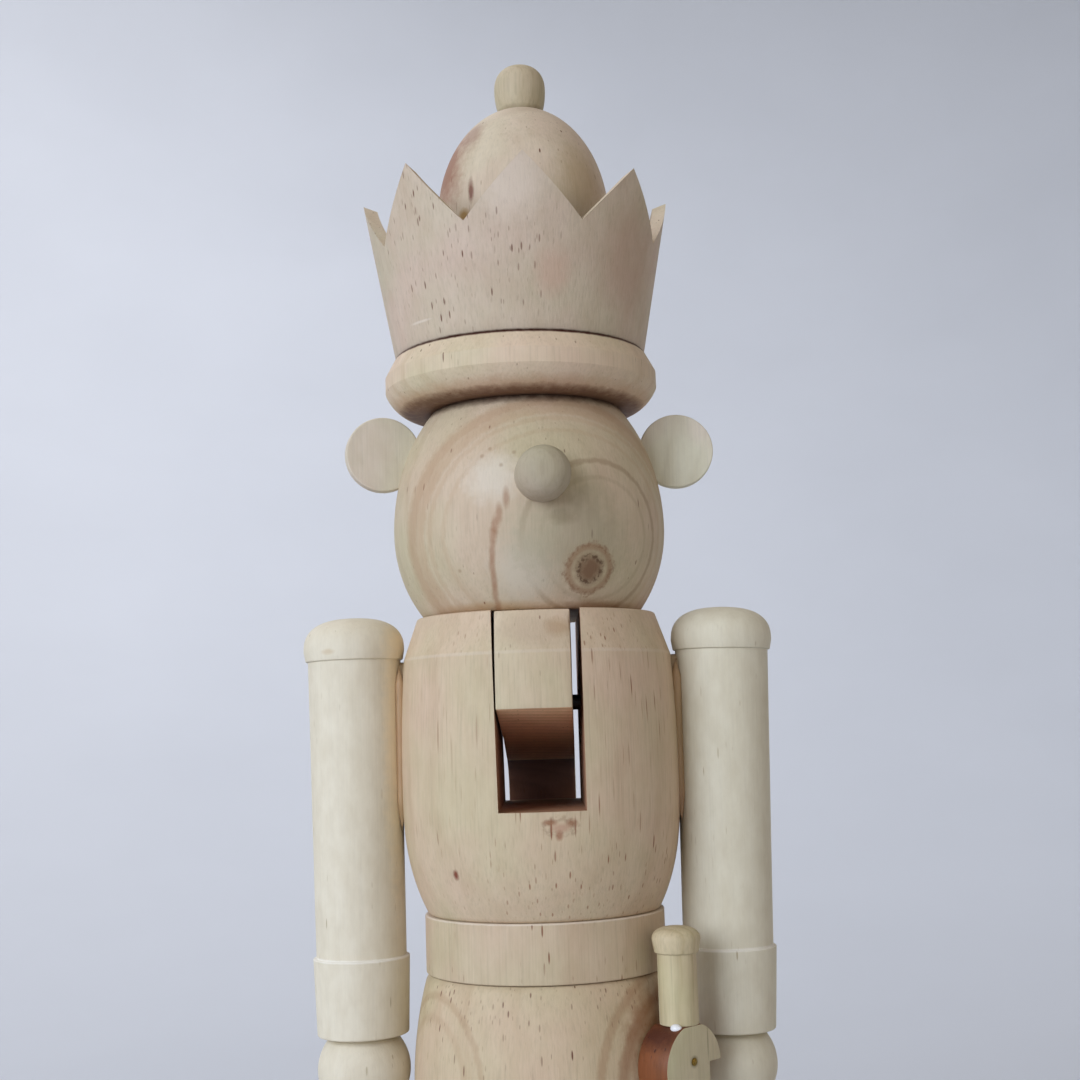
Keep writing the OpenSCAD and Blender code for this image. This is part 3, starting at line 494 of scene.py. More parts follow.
torso_line = rounded([(0, 0), (torso_foot_r - 0.6, 0), (torso_foot_r - 0.1, 0.15), (torso_radius(0.4), 0.4)]
                     + [(torso_radius(z), z) for z in steps(1.0, shoulder_z, 36)[:-1]]
                     + [(shoulder_r, shoulder_z, 1.6), (torso_top_r, torso_h, 0.5), (0, torso_h)])
torso = turned("torso_barrel", torso_line, torso_wood, at(0, 0, torso_z), seed=12)
floor_z, torso_top = torso_z + slot_floor, torso_z + torso_h
slot_line = [(slot_lean - slot_w / 2, floor_z), (slot_w / 2, floor_z), (slot_w / 2, torso_top + 5),
             (-slot_w / 2, torso_top + 5), (-slot_w / 2, torso_top)]
slot = prism("slot", slot_line, "y", -slot_reach, slot_reach, slot_wood)
saw = torso.modifiers.new("saw", "BOOLEAN")
saw.operation = "DIFFERENCE"
saw.solver = "EXACT"
saw.object = slot
saw.material_mode = "TRANSFER"
bake(torso)
bpy.data.objects.remove(slot)
fit(torso, "torso")

# Jaw lever
# One sawn rubberwood lever: the jaw in front, flush with the barrel, and the tail that hangs behind.
# It turns on the pin through the torso. Its sawn underside is saw-browned and painted brighter, as light
# inside the slot;
# the tail's inner side is painted dark, as shade.
jaw_w, tail_w, tail_full, skew, shift = 15.9, 15.5, 0.8, 1.3, -0.15
jaw_top, jaw_low, jaw_lip, fall, drop = 249.1, 229.0, 0.6, 11.5, 9.4
under_front, under_back, bend_z = -32.9, 22, jaw_low - fall
tail_y, tail_back, tail_end, tail_in, tail_r = 33.5, 42.0, 124, 1.2, 3
heel_y, heel_z, heel_r, neck_rise, taper_y, taper_run = 28, jaw_top - 14.9, 15.5, 7.45, 4, 24
jaw_marks = [
    shoulder_highlight, ((4.6, -28, 245.3), (3.6, 6, 2.6), "AE8C64", 0.6, 0),
    # (0, -29, 244.5): a broad darker tint on the jaw's upper half, painted shade below the head
    ((0, -29, 244.5), (10, 8, 5), "B29A80", 0.45, 0), ((7, -29, 247), (0.3, 4, 3), "6A4A34", 0.7, 0)]
jaw_wood = wood("rubberwood jaw", "D6C7AE", "BBA283", log=(-14, 80), ring=7, bands=0.35, pores=0.25,
                marks=jaw_marks)
# the underside's warm tone: partly saw browning, partly painted light that lifts it out of the slot's shade
under_wood = wood("saw-browned, painted-light lever underside", "F6C6A2", "C69672", log=(-14, 80), ring=3, bands=0.7,
                  pores=0.2, rough=0.7)
# the tail's inner side: painted shade inside the slot
shaded_tail_wood = wood("painted-shade tail side", "7E5A50", "5A3E36", log=(-14, 80), ring=3, bands=0.5, pores=0.2,
                  rough=0.75)


def turn(degrees, axis):
    """A turn about an axis."""
    return Matrix.Rotation(math.radians(degrees), 4, axis)


# the lever's outline from the side, as (y, z); where y is None, the barrel's face gives it
side_line = [(None, jaw_low - jaw_lip)]
side_line += [(y, jaw_low - fall * (y - under_front) / (under_back - under_front)) for y in (-20, 0)]
side_line += [(under_back + (tail_y - under_back) * math.sin(a), bend_z - drop * (1 - math.cos(a)))
              for a in steps(0, math.pi / 2, 14)]
under_end = len(side_line) - 12  # the brown ends early in the bend
side_line += list(zip(steps(tail_y, tail_y + tail_in, 10), steps(bend_z - drop, tail_end + tail_r, 10)))[1:-1]
inner_end = len(side_line) - 1
toe_y, toe_z = tail_y + tail_in + tail_r, tail_end + tail_r
side_line += [(toe_y - tail_r * math.cos(a), toe_z - tail_r * math.sin(a)) for a in steps(0, math.pi, 10)]
side_line += list(zip(steps(toe_y + tail_r, tail_back, 10), steps(toe_z, heel_z - heel_r, 10)))[1:-1]
side_line += [(heel_y + (tail_back - heel_y) * math.cos(a), heel_z - heel_r * (1 - math.sin(a)))
              for a in steps(0, math.pi / 2, 14)]
side_line += [(10, heel_z + neck_rise), (-8, jaw_top), (-20, jaw_top)]
side_line += [(None, z) for z in steps(jaw_top, jaw_low - jaw_lip, 14)[:-1]]
loops = []
for share in steps(-1, 1, 12):
    loop = []
    for y, z in side_line:
        if y is None:
            x = share * jaw_w / 2
            y = -math.sqrt(torso_radius(z - torso_z) ** 2 - x * x)
        else:
            taper = min(max((y - taper_y) / taper_run, 0), 1)
            x = share * (jaw_w + (tail_w - jaw_w) * taper) / 2 + min(share, 0) * tail_full * taper
        loop.append((x, y, z))
    loops.append(loop)
lever = skin("jaw_lever_skin", loops, jaw_wood)
lever.data.transform(at(shift, 0, 0) @ turn(-skew, "Z"))
for material in (under_wood, shaded_tail_wood):
    lever.data.materials.append(material)
for i, face in enumerate(lever.data.polygons[:-2]):
    k = i % len(side_line)
    face.material_index = 1 if k < under_end else 2 if k < inner_end else 0
fit(soften(lever, 0.3), "jaw_lever", body="jaw")

# Jaw pin
# Drawn steel wire, driven through the torso's two cheeks; its ends are eased.
# It is dull and dark, with fine lines along its length.


def plain(name, cells, detail, tones, roughs, metallic=0.0, specular=0.5):
    """A material without grain. A noise, in cells per mm, moves it between two tones and two roughnesses."""
    material, t, shader, place = bare(name)
    noise = vector_node(t, "MULTIPLY", place, cells)
    noise = add(t, NOISE, {"Vector": noise, "Scale": 1.0, "Detail": detail})
    for label, pair in (("Base Color", tones), ("Roughness", roughs)):
        t.links.new(add(t, RAMP, {"Fac": noise}, stops=list(zip((0.3, 0.7), pair))), shader.inputs[label])
    shader.inputs["Metallic"].default_value = metallic
    shader.inputs["Specular IOR Level"].default_value = specular
    return material


pin_steel = plain("dull steel wire", (0.06, 6, 6), 3.0, ("4A4542", "635E5A"), (0.42, 0.58), metallic=1.0)
pin_r, pin_half, pin_z = 1.7, 28, 230
pin_line = rounded([(0, -pin_half), (pin_r, -pin_half, 0.3), (pin_r, pin_half, 0.3), (0, pin_half)])
pin = turned("jaw_pin_wire", pin_line, pin_steel, at(0, 0, pin_z) @ turn(90, "Y"), uneven=0, segments=48)
fit(pin, "jaw_pin")

# Head
# A rubberwood ball, fuller above than below, glued and dowelled on a little to one side and turned.
# The year rings close round the nose; a dark knot sits under it with a thin brown line beside it.
head_z, head_r, head_mid, head_h, head_shift, head_turn = 249.4, 30.7, 19.4, 46.8, -0.9, 6.0
head_below, head_above = 31.3, 38.4
arcs, knot, patch = (8, -30, 265), (11.8, -25.5, 257.3), (13, -24, 264)
line = [(-5.3, -30.2, 272.5), (-6.9, -30.1, 269), (-7.8, -29.8, 266.8), (-8.3, -29.5, 264.5),
        (-8.6, -28.7, 261.2), (-8.7, -27.8, 258.2), (-8.4, -26.7, 255.5), (-8.3, -25.4, 252.9),
        (-7.8, -23.4, 249.9)]
flecks = [(-8.5, -27.4, 283.4), (-10.2, -27.3, 281.9), (-6.2, -29, 279.6), (-3.4, -28.6, 282.3),
          (-15.6, -24.7, 257.9)]
head_marks = [
    (arcs, (36.5, 36.5, 30), "AE8A68", 0.5, 0.07), (arcs, (33.6, 33.6, 27.6), "B3906E", 0.4, 0.045),
    (arcs, (31.2, 31.2, 25.6), "B3906E", 0.25, 0.03), (arcs, (27.5, 27.5, 22.6), "B3906E", 0.2, 0.03),
    (patch, (16.6,) * 3, "86694A", 0.4, 0.05), (patch, (13,) * 3, "8F7A5C", 0.2, 0.05),
    # (10, -28, 264): a greyish-olive patch at the figure's left, below the nose, is painted shade
    ((-2, -29, 257), (9, 9, 10), "C9BCA5", 0.85, 0), ((10, -28, 264), (15, 12, 14), "9C9176", 0.6, 0),
    # (-8, -29, 277): a pale patch left of the nose is a painted highlight
    ((0, -31, 265), (9, 6, 10), "B0A789", 0.45, 0), ((-8, -29, 277), (8, 6, 7), "E2D8C6", 0.5, 0),
    ((7, -30.5, 268), (4.5, 3, 2.2), "7F7252", 0.4, 0), (knot, (7,) * 3, "A98E66", 0.45, 0),
    (knot, (4.9,) * 3, "8E6746", 0.5, 0.2), (knot, (5.4,) * 3, "7A5236", 0.42, -0.14),
    (knot, (4.1,) * 3, "7A5C42", 0.95, 0), (knot, (2.7,) * 3, "4A2D1A", 0.7, -0.3),
    # thin bands round the head's foot: painted shade under its swell, darker at the figure's left
    ((-10, -22, 249.8), (16, 12, 1.8), "B08A5E", 0.5, 0), ((14, -20, 249.8), (12, 12, 1.6), "86603F", 0.6, 0),
    # a dark band on the head's top, under the crown ring: painted contact shadow
    ((-1.8, 0, 296.4), (70, 70, 2.4), "452614", 0.85, 0)]
head_marks += [(place, (0.95, 3, 3), "925F3A", 0.52, 0) for place in line]
head_marks += [(place, (0.6,) * 3, "8C6848", 0.4, 0) for place in flecks]
head_wood = wood("rubberwood head", "CFC1A8", "B59C7E", log=(-12, 62), ring=6.5, bands=0.2, pores=0.15,
                 lean=4, marks=head_marks)


def head_radius(z):
    """The head's radius at a height above the torso."""
    return head_r * math.sqrt(1 - ((z - head_mid) / (head_below if z < head_mid else head_above)) ** 2)


arc = [(head_radius(z), z) for z in steps(0, head_h, 64)]
neck_r, brow_r = arc[0][0], arc[-1][0]
head_line = rounded([(0, 0), (neck_r - 0.4, 0), (neck_r + 0.05, 0.2)] + arc[1:-1]
                    + [(brow_r + 0.05, head_h - 0.1), (brow_r - 0.4, head_h), (0, head_h)])
fit(turned("head_ball", head_line, head_wood, at(head_shift, 0, head_z), seed=15), "head")

# Nose
# A small limewood knob, turned with a peg and glued into the head's front.
# Limewood is paler and finer than rubberwood and shows hardly any pores.
nose_wood = wood("limewood nose", "BCB29E", "A3987F", log=(30, 10), ring=2.2, bands=0.4, pores=0, streaks=0.5)
nose_r, nose_l, nose_z, nose_seat, nose_peg_r, nose_peg_l = 5.8, 9.5, 27.5, 2, 2.5, 6


def cap(r1, z1, z2, power):
    """Profile points of a rounded end, from (r1, z1) up to the axis at z2."""
    return [(r1 * max(math.cos(a), 0) ** (2 / power), z1 + (z2 - z1) * math.sin(a) ** (2 / power))
            for a in steps(0, math.pi / 2, 18)]


nose_line = rounded([(0, -nose_peg_l), (nose_peg_r, -nose_peg_l, 0.2), (nose_peg_r, -nose_seat, 0.2),
                     (nose_r - 0.1, -nose_seat, 0.2)] + cap(nose_r, nose_l / 3, nose_l, 2.4))
on_head = at(head_shift, 0, head_z) @ turn(head_turn, "Z")
nose_place = on_head @ at(0, -head_radius(nose_z), nose_z) @ turn(90, "X")
fit(turned("nose_knob", nose_line, nose_wood, nose_place, uneven=0.1, segments=96), "nose")

# Ears
# Two thin limewood discs, sawn and sanded; the figure's left one is painted paler than the right, as painted
# light against the head's shadow on it.
# They are glued edge-on to the head's sides and toed in towards the front.
ear_r, ear_t, ear_x, ear_z, ear_shift, ear_toe = 8.5, 3, 33.8, 37.6, 0.9, 8
ear_line = rounded([(0, -ear_t / 2), (ear_r, -ear_t / 2, 0.35), (ear_r, ear_t / 2, 0.35), (0, ear_t / 2)])
# the figure's left ear is painted paler: painted light that offsets the head's shadow on it
for name, side, pale in (("left_ear", 1, "F0EBDD"), ("right_ear", -1, "DDD6C4")):
    ear_wood = wood("limewood " + name.replace("_", " "), pale, "D0C5AE", log=(side * 60, 40), ring=3,
                    bands=0.35, pores=0, streaks=0.35)
    ear_place = on_head @ at(ear_shift + side * ear_x, 0, ear_z) @ turn(-side * ear_toe, "Z") @ turn(90, "X")
    fit(turned(name + "_disc", ear_line, ear_wood, ear_place, uneven=0.08, segments=128), name)

# Crown ring
# A rubberwood ring, turned round underneath and bevelled on top, glued between head and crown.
# A dark seam line above it is partly painted shadow of the joint, and its underside is painted darker and
# warmer as shade and bounced light.
ring_z, ring_h, ring_r, ring_foot_r, ring_top_r, crown_shift = 296.2, 12.4, 31.1, 24.5, 28.9, -1.8
under_h, flat_z, round_r, round_a = 5, 8.3, 10, math.pi / 3
# the dark seam line where crown meets ring: partly a dark joint, partly painted shadow of the gap
seam = ((0, 0, 308.6), (200, 200, 0.55), "44180A", 1.0, 0)
ring_wood = wood("rubberwood crown ring", "DDCDB4", "C2A888", log=(-16, 70), ring=5, bands=0.4, pores=0.12,
                 # the warm brown tint on the ring's underside is painted shade and bounced light; the dark
                 # line at its foot is a painted contact shadow
                 marks=[seam, ((crown_shift, 0, ring_z), (70, 70, 3.4), "B27A4E", 0.45, 0),
                        ((crown_shift, 0, ring_z), (70, 70, 1.4), "5E3822", 0.8, 0)])
round_under = [(ring_foot_r + (ring_r - ring_foot_r) * math.sin(a) / math.sin(round_a),
                round_r * (1 - math.cos(a))) for a in steps(0, round_a, 20)]
ring_line = rounded([(0, 0)] + round_under[:-1] + [(ring_r, under_h, 0.25), (ring_r, flat_z, 0.35),
                                                   (ring_top_r, ring_h, 0.35), (0, ring_h)])
fit(turned("crown_ring_turning", ring_line, ring_wood, at(crown_shift, 0, ring_z), seed=18), "crown_ring")

# Crown
# A flared rubberwood cup whose rim is sawn into eight points by four cuts right across it.
# The cuts are instances of one wedge, spaced round the axis; sawn faces stay paler than the turned ones.
crown_z, crown_h, crown_foot, crown_tip, crown_wall, crown_floor = 308.6, 37.4, 28.5, 35.4, 3, 8
notch, points_n, trim, saw_over, crown_turn, tall_by, tall_at = 13.7, 8, 0.6, 4, 3.5, 1.8, -135
crown_marks = [
    seam, ((-23.2, -20.1, 313.4), (4.5, 4, 0.35), "E2D6C5", 0.5, 0),
    # (24, -20, 326): a warm brown patch on the figure's left side of the crown, painted shade
    ((24, -20, 326), (12, 12, 16), "AF8C72", 0.4, 0),
    ((6, -30, 321), (5, 5, 7), "C79C86", 0.4, 0), ((-2, -34, 340), (10, 6, 10), "E0CFBC", 0.6, 0)]
crown_wood = wood("rubberwood crown", "D0C2AF", "BBA088", log=(6, 72), ring=6, bands=0.25, pores=0.9,
                  pore_l=9, pore_at=((-16, -26, 328), 27), marks=crown_marks)
sawn_wood = wood("fresh-sawn rubberwood", "DDCFBC", "C9B69C", log=(6, 72), ring=5.5, bands=0.4, pores=0.2,
                 rough=0.75)


def points_tree():
    """Saws wedges out of a cup, spaced evenly round its axis with a little unevenness."""
    sockets = {"Cup": "Geometry", "Wedge": "Object", "Points": "Int", "Unevenness": "Float", "Seed": "Int",
               "Sawn wood": "Material"}
    t, given = new_tree("sawn points", sockets, "Crown")
    cuts = math_node(t, "DIVIDE", given["Points"], 2.0)
    spots = add(t, "GeometryNodeMeshLine", {"Count": cuts, "Offset": (0, 0, 0)})
    index = add(t, "GeometryNodeInputIndex")
    angle = math_node(t, "ADD", index, 0.5)
    angle = math_node(t, "MULTIPLY", angle, math.tau)
    angle = math_node(t, "DIVIDE", angle, given["Points"])
    less = math_node(t, "MULTIPLY", given["Unevenness"], -1.0)
    stray = add(t, "FunctionNodeRandomValue", {2: less, 3: given["Unevenness"], "Seed": given["Seed"]}, out=1,
                data_type="FLOAT")
    angle = math_node(t, "ADD", angle, stray)
    angle = add(t, "ShaderNodeCombineXYZ", {2: angle})
    wedge = add(t, "GeometryNodeObjectInfo", {"Object": given["Wedge"]}, out="Geometry")
    wedges = add(t, "GeometryNodeInstanceOnPoints", {"Points": spots, "Instance": wedge, "Rotation": angle})
    wedges = add(t, "GeometryNodeRealizeInstances", {0: wedges})
    wedges = add(t, "GeometryNodeStoreNamedAttribute", {"Geometry": wedges, "Name": "sawn", "Value": True},
                 data_type="BOOLEAN", domain="FACE")
    shape = add(t, "GeometryNodeMeshBoolean",
                {"Mesh 1": given["Cup"], "Mesh 2": wedges, "Self Intersection": True},
                out="Mesh", operation="DIFFERENCE", solver="EXACT")
    sawn = add(t, "GeometryNodeInputNamedAttribute", {"Name": "sawn"}, data_type="BOOLEAN")
    shape = add(t, "GeometryNodeRealizeInstances", {0: shape})
    shape = add(t, "GeometryNodeSetMaterial",
                {"Geometry": shape, "Selection": sawn, "Material": given["Sawn wood"]})
    add(t, "NodeGroupOutput", {0: shape}, out=None)
    return t


floor_r = crown_foot - crown_wall + (crown_tip - crown_foot) * crown_floor / crown_h
cup_line = rounded([(0, 0.05), (crown_foot - 0.5, 0.05), (crown_foot - 0.15, 0.3), (crown_foot + 0.1, 0.7),
                    (crown_tip, crown_h), (crown_tip - crown_wall, crown_h), (floor_r, crown_floor, 0.6),
                    (0, crown_floor)])
cup = turned("crown_cup", cup_line, crown_wood, seed=21, uneven=0.1)
half = (crown_tip + trim) * math.sin(math.pi / points_n)
wedge = prism("wedge", [(0, crown_h - notch), (2 * half, crown_h + notch), (-2 * half, crown_h + notch)], "y",
              -crown_tip - saw_over, crown_tip + saw_over, crown_wood)
run_tree(cup, points_tree(), {"Wedge": wedge, "Points": points_n, "Unevenness": 0.012, "Seed": 4,
                              "Sawn wood": sawn_wood})
bpy.data.objects.remove(wedge)
# one point was sawn a little taller than the others
for spot in cup.data.vertices:
    off = abs(math.degrees(math.atan2(spot.co.y, spot.co.x)) - tall_at)
    high = max(spot.co.z / MM - crown_h + notch, 0) / notch
    spot.co.z += tall_by * MM * high * max(1 - off * points_n / 180, 0)
cup.data.transform(at(crown_shift, 0, crown_z) @ turn(crown_turn, "Z"))
fit(cup, "crown")

# Dome
# An egg-shaped rubberwood turning that stands inside the crown, glued to its floor.
# Brown heartwood streaks it at the figure's right.
dome_z, dome_h, dome_r, dome_max, dome_foot_r, dome_top_r = 316.6, 51.4, 20, 25.4, 10, 5
dome_marks = [
    ((-16.5, -6, 352), (6, 12, 18), "94654F", 0.85, 0), ((-11, -10, 359), (3.6, 6, 6.5), "8A5C4C", 0.55, 0),
    ((-11.5, -16.3, 344.3), (0.9, 2, 3.4), "74402E", 0.85, 0),
    ((-13.2, -14.8, 339.1), (1.6, 3, 2), "A07A38", 0.85, 0),
    ((0.5, -12, 359), (1.6, 3, 1), "B79A4E", 0.6, 0), ((13, -14, 346), (8, 9, 12), "AC9468", 0.5, 0)]
dome_wood = wood("rubberwood dome", "DACAB8", "BFA590", log=(-20, 44), ring=5.5, bands=0.3, pores=0.3,
                 marks=dome_marks)
low_sin, high_sin = [math.sqrt(1 - (r / dome_r) ** 2) for r in (dome_foot_r, dome_top_r)]
egg = [(dome_r * math.sqrt(1 - (low_sin * s) ** 2), dome_max * (1 - s)) for s in steps(1, 0, 24)[:-1]]
egg += [(dome_r * math.sqrt(1 - (high_sin * s) ** 2), dome_max + (dome_h - dome_max) * s)
        for s in steps(0, 1, 36)]
dome_line = rounded([(0, 0)] + egg + [(0, dome_h)])
fit(turned("dome_egg", dome_line, dome_wood, at(0, 0, dome_z), seed=24), "crown_dome")

# Finial
# A limewood bead, turned with a peg and glued into the dome's top.
# Its fibres show plainly, and its foot is painted dark, as a contact shadow on the dome.
finial_z, finial_r, finial_h, finial_foot_r, finial_peg_r, finial_peg_l = 368.0, 6, 11.8, 5, 1.8, 8
bead_wood = wood("limewood bead", "C8BEA2", "AE9F7E", log=(20, 20), ring=2, bands=0.5, pores=0, streaks=0.8,
                 # the dark band at the bead's foot: a painted contact shadow
                 marks=[((0, 0, finial_z), (8, 8, 1.5), "6A5A40", 0.6, 0)])
foot_a = math.acos(finial_foot_r / finial_r)
bead = [(finial_r * math.cos(a), finial_h / 2 * (1 + math.sin(a) / math.sin(foot_a)))
        for a in steps(-foot_a, 0, 16)]
bead_line = rounded([(0, -finial_peg_l), (finial_peg_r, -finial_peg_l, 0.2), (finial_peg_r, 0)] + bead[:-1]
                    + cap(finial_r, finial_h / 2, finial_h, 2.4))
fit(turned("finial_bead", bead_line, bead_wood, at(0, 0, finial_z), segments=128), "finial")

# Arms
# Two limewood turnings, each a capped sleeve, a cuff and a ball hand in one piece.
# Each leans in a little and is glued to the torso, with a brown bead in the groove between them, partly glue
# and partly a fill for the groove's shade.
arm_x, seat_z, cap_z, cap_r, cap_rise, arm_top = 41.06, 215.6, 240.7, 11.3, 2.2, 250.3
cuff_z, cuff_top_r, cuff_foot_r, sleeve_foot_r, sleeve_top_r = 175.8, 10.6, 10, 9.9, 10.4
hand_r, hand_drop, wrist_r, wrist_rise = 10.1, 7.4, 6.8, 6.2
glue_low, glue_top, glue_r, glue_x, glue_y = 203, 239, 1.2, 30.9, -3.4
# a brown bead in the groove by the torso: partly glue, partly a fill standing in for the groove's shade
glue_and_groove_shade = wood("browned glue and groove shade", "CAAC88", "A68866", log=(40, 40), ring=3, bands=0.5, pores=0, rough=0.4)
arm_marks = [
    # (-31, -6, 225): a warm pale streak on the right arm's inner side, painted light bounced from the torso
    ((-45.7, -10, 242.5), (2, 3, 0.8), "C6A878", 0.4, 0), ((-31, -6, 225), (4, 10, 45), "FFEBC4", 0.65, 0),
    # a pale band round each cuff's top edge: a painted highlight
    ((0, 0, cuff_z), (200, 200, 0.45), "F6F2E8", 0.6, 0)]
glue_profile = rounded([(0, glue_low), (glue_r, glue_low + 6, 4), (glue_r, glue_top - 4, 4), (0, glue_top)])


def join(piece, extra, material):
    """Joins an extra piece into another one, in a material of its own."""
    piece.data.materials.append(material)
    shape = bmesh.new()
    shape.from_mesh(piece.data)
    first = len(shape.faces)
    shape.from_mesh(extra.data)
    for i, face in enumerate(shape.faces):
        if i >= first:
            face.material_index = 1
    shape.to_mesh(piece.data)
    shape.free()
    bpy.data.objects.remove(extra)


# the figure's left arm's wood is a little darker, as painted shade
for name, side, lean, cuff_foot, pale in (("left_arm", 1, 1.2, 158.1, "E0DBC9"),
                                          ("right_arm", -1, 0.5, 159.2, "E7E0CF")):
    hand_z = cuff_foot - hand_drop
    hand = [(hand_r * math.cos(a), hand_z + hand_r * math.sin(a))
            for a in steps(-math.pi / 2, math.asin(wrist_rise / hand_r), 40)]
    hand[0] = (0, hand[0][1])
    arm_line = rounded(hand + [(wrist_r, cuff_foot - 0.6, 0.2), (wrist_r, cuff_foot, 0.2),
                               (cuff_foot_r, cuff_foot, 0.4), (cuff_top_r, cuff_z, 0.3),
                               (sleeve_foot_r, cuff_z, 0.2), (sleeve_top_r, cap_z, 0.3),
                               (cap_r - 0.4, cap_z, 0.4)] + cap(cap_r, cap_z + cap_rise, arm_top, 2.6))
    arm_line = [(r, z - seat_z) for r, z in arm_line]
    arm_wood = wood("limewood " + name.replace("_", " "), pale, "CDC2A8", log=(side * 90, 30), ring=9,
                    bands=0.12, pores=0.1, pore="B9A988", streaks=0.2, cast=("FFFCF4", "FAF6EC"),
                    marks=arm_marks)
    arm_place = at(side * arm_x, 0, seat_z) @ turn(side * lean, "Y")
    arm = turned(name + "_turning", arm_line, arm_wood, arm_place, seed=27 + side)
    glue_place = at(side * glue_x, glue_y, 0)
    bead = turned("glue", glue_profile, glue_and_groove_shade, glue_place, uneven=0.5, seed=30 + side, segments=16)
    join(arm, bead, glue_and_groove_shade)
    fit(arm, name)

# Sword
# A saw-cut limewood disc with a notch for the guard, scorched round its rim, a turned grip and a flat blade.
# The guard is nailed to the hips with a brass pin; a drop of clear, shiny glue shows under the grip.
guard_x, guard_t, guard_y, guard_z, guard_r, guard_turn = 29.1, 7.9, 4.6, 154.4, 8.8, -44
edge_y, edge_z, top_z = guard_y + 5.1, guard_z + 0.4, 162.7
face_marks = [((29.7, -22.5, 155.6), (1.5,) * 3, "5A4A2C", 0.7, 0),
              ((33, -19.1, 159), (0.3, 0.3, 5), "857A5C", 0.6, 0)]
rim_marks = [((22, -24, 161.5), (8, 7, 4), "46261F", 0.8, 0),
             ((17.5, -25, 149.5), (3, 5, 4), "B08449", 0.7, 0)]
face_wood = wood("limewood guard face", "D6CEB1", "B9AE90", log=(30, -60), ring=2.6, bands=0.3, pores=0,
                 streaks=0.5, marks=face_marks)
rim_wood = wood("scorched rim", "8C5434", "603822", log=(30, -60), ring=4.5, bands=0.5, pores=0.5,
                pore="3E1D12", rough=0.45, streaks=1.0, marks=rim_marks)
on_guard = turn(guard_turn, "Z")
rim = []
for a in steps(math.pi / 2, math.pi / 2 + math.tau, 140)[:-1]:
    y, z = guard_y + guard_r * math.cos(a), guard_z + guard_r * math.sin(a)
    if not (y > edge_y and z < edge_z):
        rim.append((y, min(z, top_z)))
    elif rim[-1][1] < guard_z and rim[-1][0] < edge_y:
        rim += [(edge_y, guard_z - math.sqrt(guard_r ** 2 - (edge_y - guard_y) ** 2)), (edge_y, edge_z),
                (guard_y + math.sqrt(guard_r ** 2 - (edge_z - guard_z) ** 2), edge_z)]
rim = [p for i, p in enumerate(rim) if math.dist(p, rim[i - 1]) > 0.05]
guard = prism("guard_disc", rim, "x", guard_x, guard_x + guard_t, rim_wood)
guard.data.materials.append(face_wood)
for face in guard.data.polygons:
    face.material_index = 1 if abs(face.normal.x) > 0.9 and len(face.vertices) > 4 else 0
guard.data.transform(on_guard)
fit(soften(guard, 0.25), "sword_guard")

grip_r, grip_l, grip_peg_r, grip_peg_l, knob_r, knob_z, knob_top = 4.1, 14.5, 2, 5.5, 5.1, 17.2, 19.9
grip_wood = wood("limewood grip", "D4C8A8", "A8946C", log=(12, -50), ring=2.4, bands=0.5, pores=0,
                 streaks=0.8)
grip_line = rounded([(0, -grip_peg_l), (grip_peg_r, -grip_peg_l, 0.2), (grip_peg_r, 0), (grip_r, 0, 0.2),
                     (grip_r, grip_l, 0.2), (knob_r - 0.5, grip_l, 0.3)] + cap(knob_r, knob_z, knob_top, 2.4))
guard_mid = guard_x + guard_t / 2
grip_place = on_guard @ at(guard_mid, guard_y + 0.4, top_z)
grip = turned("grip_turning", grip_line, grip_wood, grip_place, segments=96)
drop_place, drop_size = at(35.2, 1.3, 162.5), Matrix.Diagonal((1.3, 1.1, 0.9, 1))
glue = plain("clear dried glue", (0.9,) * 3, 2.0, ("ECEBE8", "FAFAF8"), (0.18, 0.18))
ball = bmesh.new()
bmesh.ops.create_uvsphere(ball, u_segments=24, v_segments=16, radius=MM,
                          matrix=on_guard @ drop_place @ drop_size)
mesh = bpy.data.meshes.new("drop")
ball.to_mesh(mesh)
ball.free()
mesh.shade_smooth()
join(grip, link("drop", mesh), glue)
fit(grip, "sword_grip")

blade_w, blade_t, blade_tip, blade_end, blade_top = 8, 3, 45, 54, guard_z - guard_r + 7
blade_wood = wood("limewood blade", "D4CBB6", "BFB295", log=(30, -70), ring=2.6, bands=0.5, pores=0)
blade_line = [(guard_y - blade_w / 2, blade_top), (guard_y - blade_w / 2, blade_end), (guard_y, blade_tip),
              (guard_y + blade_w / 2, blade_end), (guard_y + blade_w / 2, blade_top)]
blade = prism("blade_lath", blade_line, "x", guard_mid - blade_t / 2, guard_mid + blade_t / 2, blade_wood)
blade.data.transform(on_guard)
fit(soften(blade, 0.6), "sword_blade")

# Guard nail
# A brass panel pin with a small domed head, driven through the guard into the hips.
# Its yellow is dulled by handling, unevenly.
brass = plain("brass pin", (2.5,) * 3, 3.0, ("7E6430", "B0934C"), (0.42, 0.25), metallic=1.0)
nail_l, nail_point, nail_r, nail_head_r, nail_head_h = 18.5, 2, 0.5, 0.8, 0.5
nail_line = rounded([(0, -nail_l), (nail_r, nail_point - nail_l), (nail_r, 0, 0.1), (nail_head_r, 0, 0.1),
                     (0.78, 0.25), (0.6, 0.42), (0.3, 0.49), (0, nail_head_h)])
nail_place = on_guard @ at(guard_x + guard_t, guard_y - 0.2, guard_z + 1.2) @ turn(90, "Y")
fit(turned("guard_nail_pin", nail_line, brass, nail_place, uneven=0, segments=48), "guard_nail")

